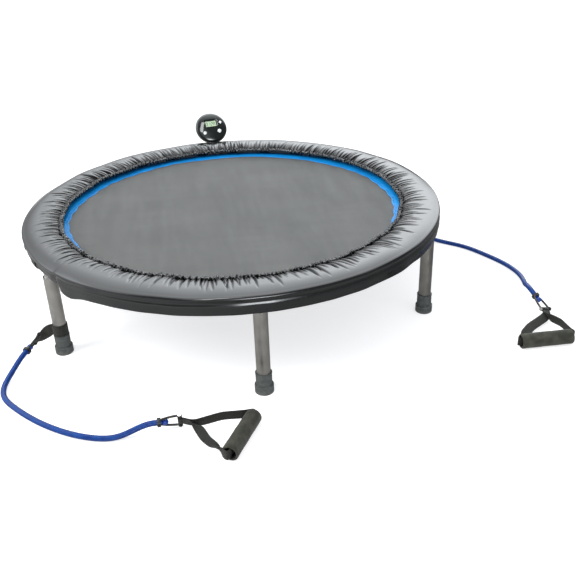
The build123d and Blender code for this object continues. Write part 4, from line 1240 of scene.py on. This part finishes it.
def display_digits():
    """A generic count on the display, as thin raised segments."""
    low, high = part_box("display_panel")
    centre = (low + high) / 2
    facing = -Vector(JOINTS["mode_button_press"]["axis"]).normalized()
    across = -Vector(JOINTS["counter_tilt"]["axis"]).normalized()
    upward = facing.cross(across)
    surface = span_along("display_panel", centre, facing)[1]
    size = 4.6 * MM
    parts = []
    for index, digit in enumerate("0128"):
        for name in SEGMENTS[digit]:
            plate = segment_plate(name, (index - 1.88) * 1.62, -1.0)
            verts = []
            for height in (0.03 * MM, 0.12 * MM):
                for x, y in plate:
                    lean = 0.1 * y
                    offset = across * ((x + lean) * size) + upward * (y * size)
                    verts.append(centre + offset + facing * (surface + height))
            sides = [(i, (i + 1) % 6, 6 + (i + 1) % 6, 6 + i) for i in range(6)]
            parts.append((verts, [tuple(range(6))[::-1], tuple(range(6, 12))] + sides))
    points, faces = join_meshes(parts)
    digits = mesh_object("display_digits", points, faces, MATERIALS["ink"], smooth=False)
    settle(digits, "counter")


# --------------------------------------------------------------- floor, light, camera


FLOOR_COLOUR = (0.6, 0.6, 0.61)
FLOOR_GLOW = 0.67


def floor_material():
    """White for the eye; reflections see it dim, a little brighter towards the left."""
    shade = Shade("studio_floor", FLOOR_COLOUR, 0.9, specular_ior_level=0.0)
    glossy = shade.node("ShaderNodeLightPath", {}).outputs["Is Glossy Ray"]
    leftward = shade.ranged(shade.axis(0), 0.6, -1.4, 0.06, 0.62)
    shade.set("Base Color", shade.mix(glossy, FLOOR_COLOUR, (0.12, 0.12, 0.12)))
    shade.set("Emission Color", (1, 1, 1, 1))
    shade.set("Emission Strength", shade.blend(glossy, FLOOR_GLOW, leftward))
    return shade.material


# Each light: place, width, height, power, colour, whether it shows in reflections.
LIGHTS = {
    "key_light": ((-2.9, -1.0, 2.7), 1.8, 1.8, 120, (1.0, 0.985, 0.96), False),
    "fill_light": ((1.2, -2.2, 3.0), 2.6, 2.6, 24, (0.97, 0.985, 1.0), False),
    "strip_light": ((-0.45, -1.0, 2.8), 0.55, 1.6, 20, (1.0, 1.0, 1.0), True),
}


def studio():
    """A white table under soft lights, with one narrow light for the reflections."""
    size = 30.0
    corners = [(-size, -size, 0), (size, -size, 0), (size, size, 0), (-size, size, 0)]
    floor = mesh_object("studio_floor", corners, [(0, 1, 2, 3)], floor_material(), smooth=False)
    floor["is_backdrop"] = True
    for name, (place, width, height, power, colour, reflected) in LIGHTS.items():
        data = bpy.data.lights.new(name, "AREA")
        data.shape = "RECTANGLE"
        data.size = width
        data.size_y = height
        data.energy = power
        data.color = colour
        light = bpy.data.objects.new(name, data)
        bpy.context.scene.collection.objects.link(light)
        light.location = place
        light.visible_glossy = reflected
        aim = Vector((0, 0, 0.15)) - Vector(place)
        light.rotation_euler = aim.to_track_quat("-Z", "Y").to_euler()


# Light that reflections see, each spot with its heading, height, sharpness and strength.
LOBES = (
    (52, 24, 12.0, 3.0),
    (98, 26, 9.0, 1.0),
    (79, 27, 22.0, 1.3),
    (80, 60, 7.0, 3.6),
    (165, 30, 9.0, 3.6),
    (276, 8, 60.0, 14.0),
    (262, 38, 25.0, 0.9),
)
DIM_LIGHT = 0.1
SKY_LIGHT = 0.75
BACKDROP_LIGHT = 1.08


def world_light():
    """A soft sky, brighter for the eye, with spots of light that only reflections see."""
    world = bpy.data.worlds.new("studio_world")
    bpy.context.scene.world = world
    world.use_nodes = True
    tree = Tree(world.node_tree)
    place = tree.node("ShaderNodeTexCoord", {}).outputs["Generated"]
    reflected = DIM_LIGHT
    for heading, height, sharpness, strength in LOBES:
        direction = Vector((cos(radians(heading)), sin(radians(heading)), 0)) * cos(radians(height))
        direction.z = sin(radians(height))
        values = {0: place, 1: direction}
        dot = tree.node("ShaderNodeVectorMath", values, operation="DOT_PRODUCT").outputs["Value"]
        spot = tree.maths("POWER", tree.maths("MAXIMUM", dot, 0.5), sharpness)
        reflected = tree.maths("ADD", tree.maths("MULTIPLY", spot, strength), reflected)
    path = tree.node("ShaderNodeLightPath", {}).outputs
    light = tree.blend(path["Is Glossy Ray"], SKY_LIGHT, reflected)
    light = tree.blend(path["Is Camera Ray"], light, BACKDROP_LIGHT)
    backdrop = tree.nodes["Background"]
    tree.put(backdrop.inputs["Strength"], light)
    backdrop.inputs["Color"].default_value = (0.93, 0.965, 1.0, 1)


# The camera's place, its heading, downward pitch and roll in degrees, and its lens in mm.
CAMERA_PLACE = (-0.1287, -1.6570, 0.8664)
CAMERA_ANGLES = (81.3, 28.13, -2.015)
CAMERA_LENS = 46.56


def camera():
    """The camera at the photograph's viewing angle."""
    heading, pitch, roll = (radians(angle) for angle in CAMERA_ANGLES)
    forward = Vector((cos(pitch) * cos(heading), cos(pitch) * sin(heading), -sin(pitch)))
    level = Vector((sin(heading), -cos(heading), 0))
    upright = level.cross(forward)
    right = level * cos(roll) + upright * sin(roll)
    up = upright * cos(roll) - level * sin(roll)
    data = bpy.data.cameras.new("camera")
    data.sensor_width = 36
    data.lens = CAMERA_LENS
    data.clip_end = 100
    view = bpy.data.objects.new("camera", data)
    bpy.context.scene.collection.objects.link(view)
    view.matrix_world = Matrix((right, up, -forward)).transposed().to_4x4()
    view.location = CAMERA_PLACE
    bpy.context.scene.camera = view


dress_cad_nodes()
padded_cover()
hem_elastic()
foam_ring()
jump_sheet()
blue_band()
blue_band_stitching()
tension_loops()
webbing_tabs()
for side in ("left", "right"):
    leg_webbing(side)
    handle_webbing(side)
    grip_sleeve(side)
display_digits()
studio()
world_light()
camera()
bpy.context.scene.view_settings.view_transform = "Standard"

boxes = {"cad": CAD_BOX, "visual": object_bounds()}
{name: [list(corner) for corner in box] for name, box in boxes.items()}
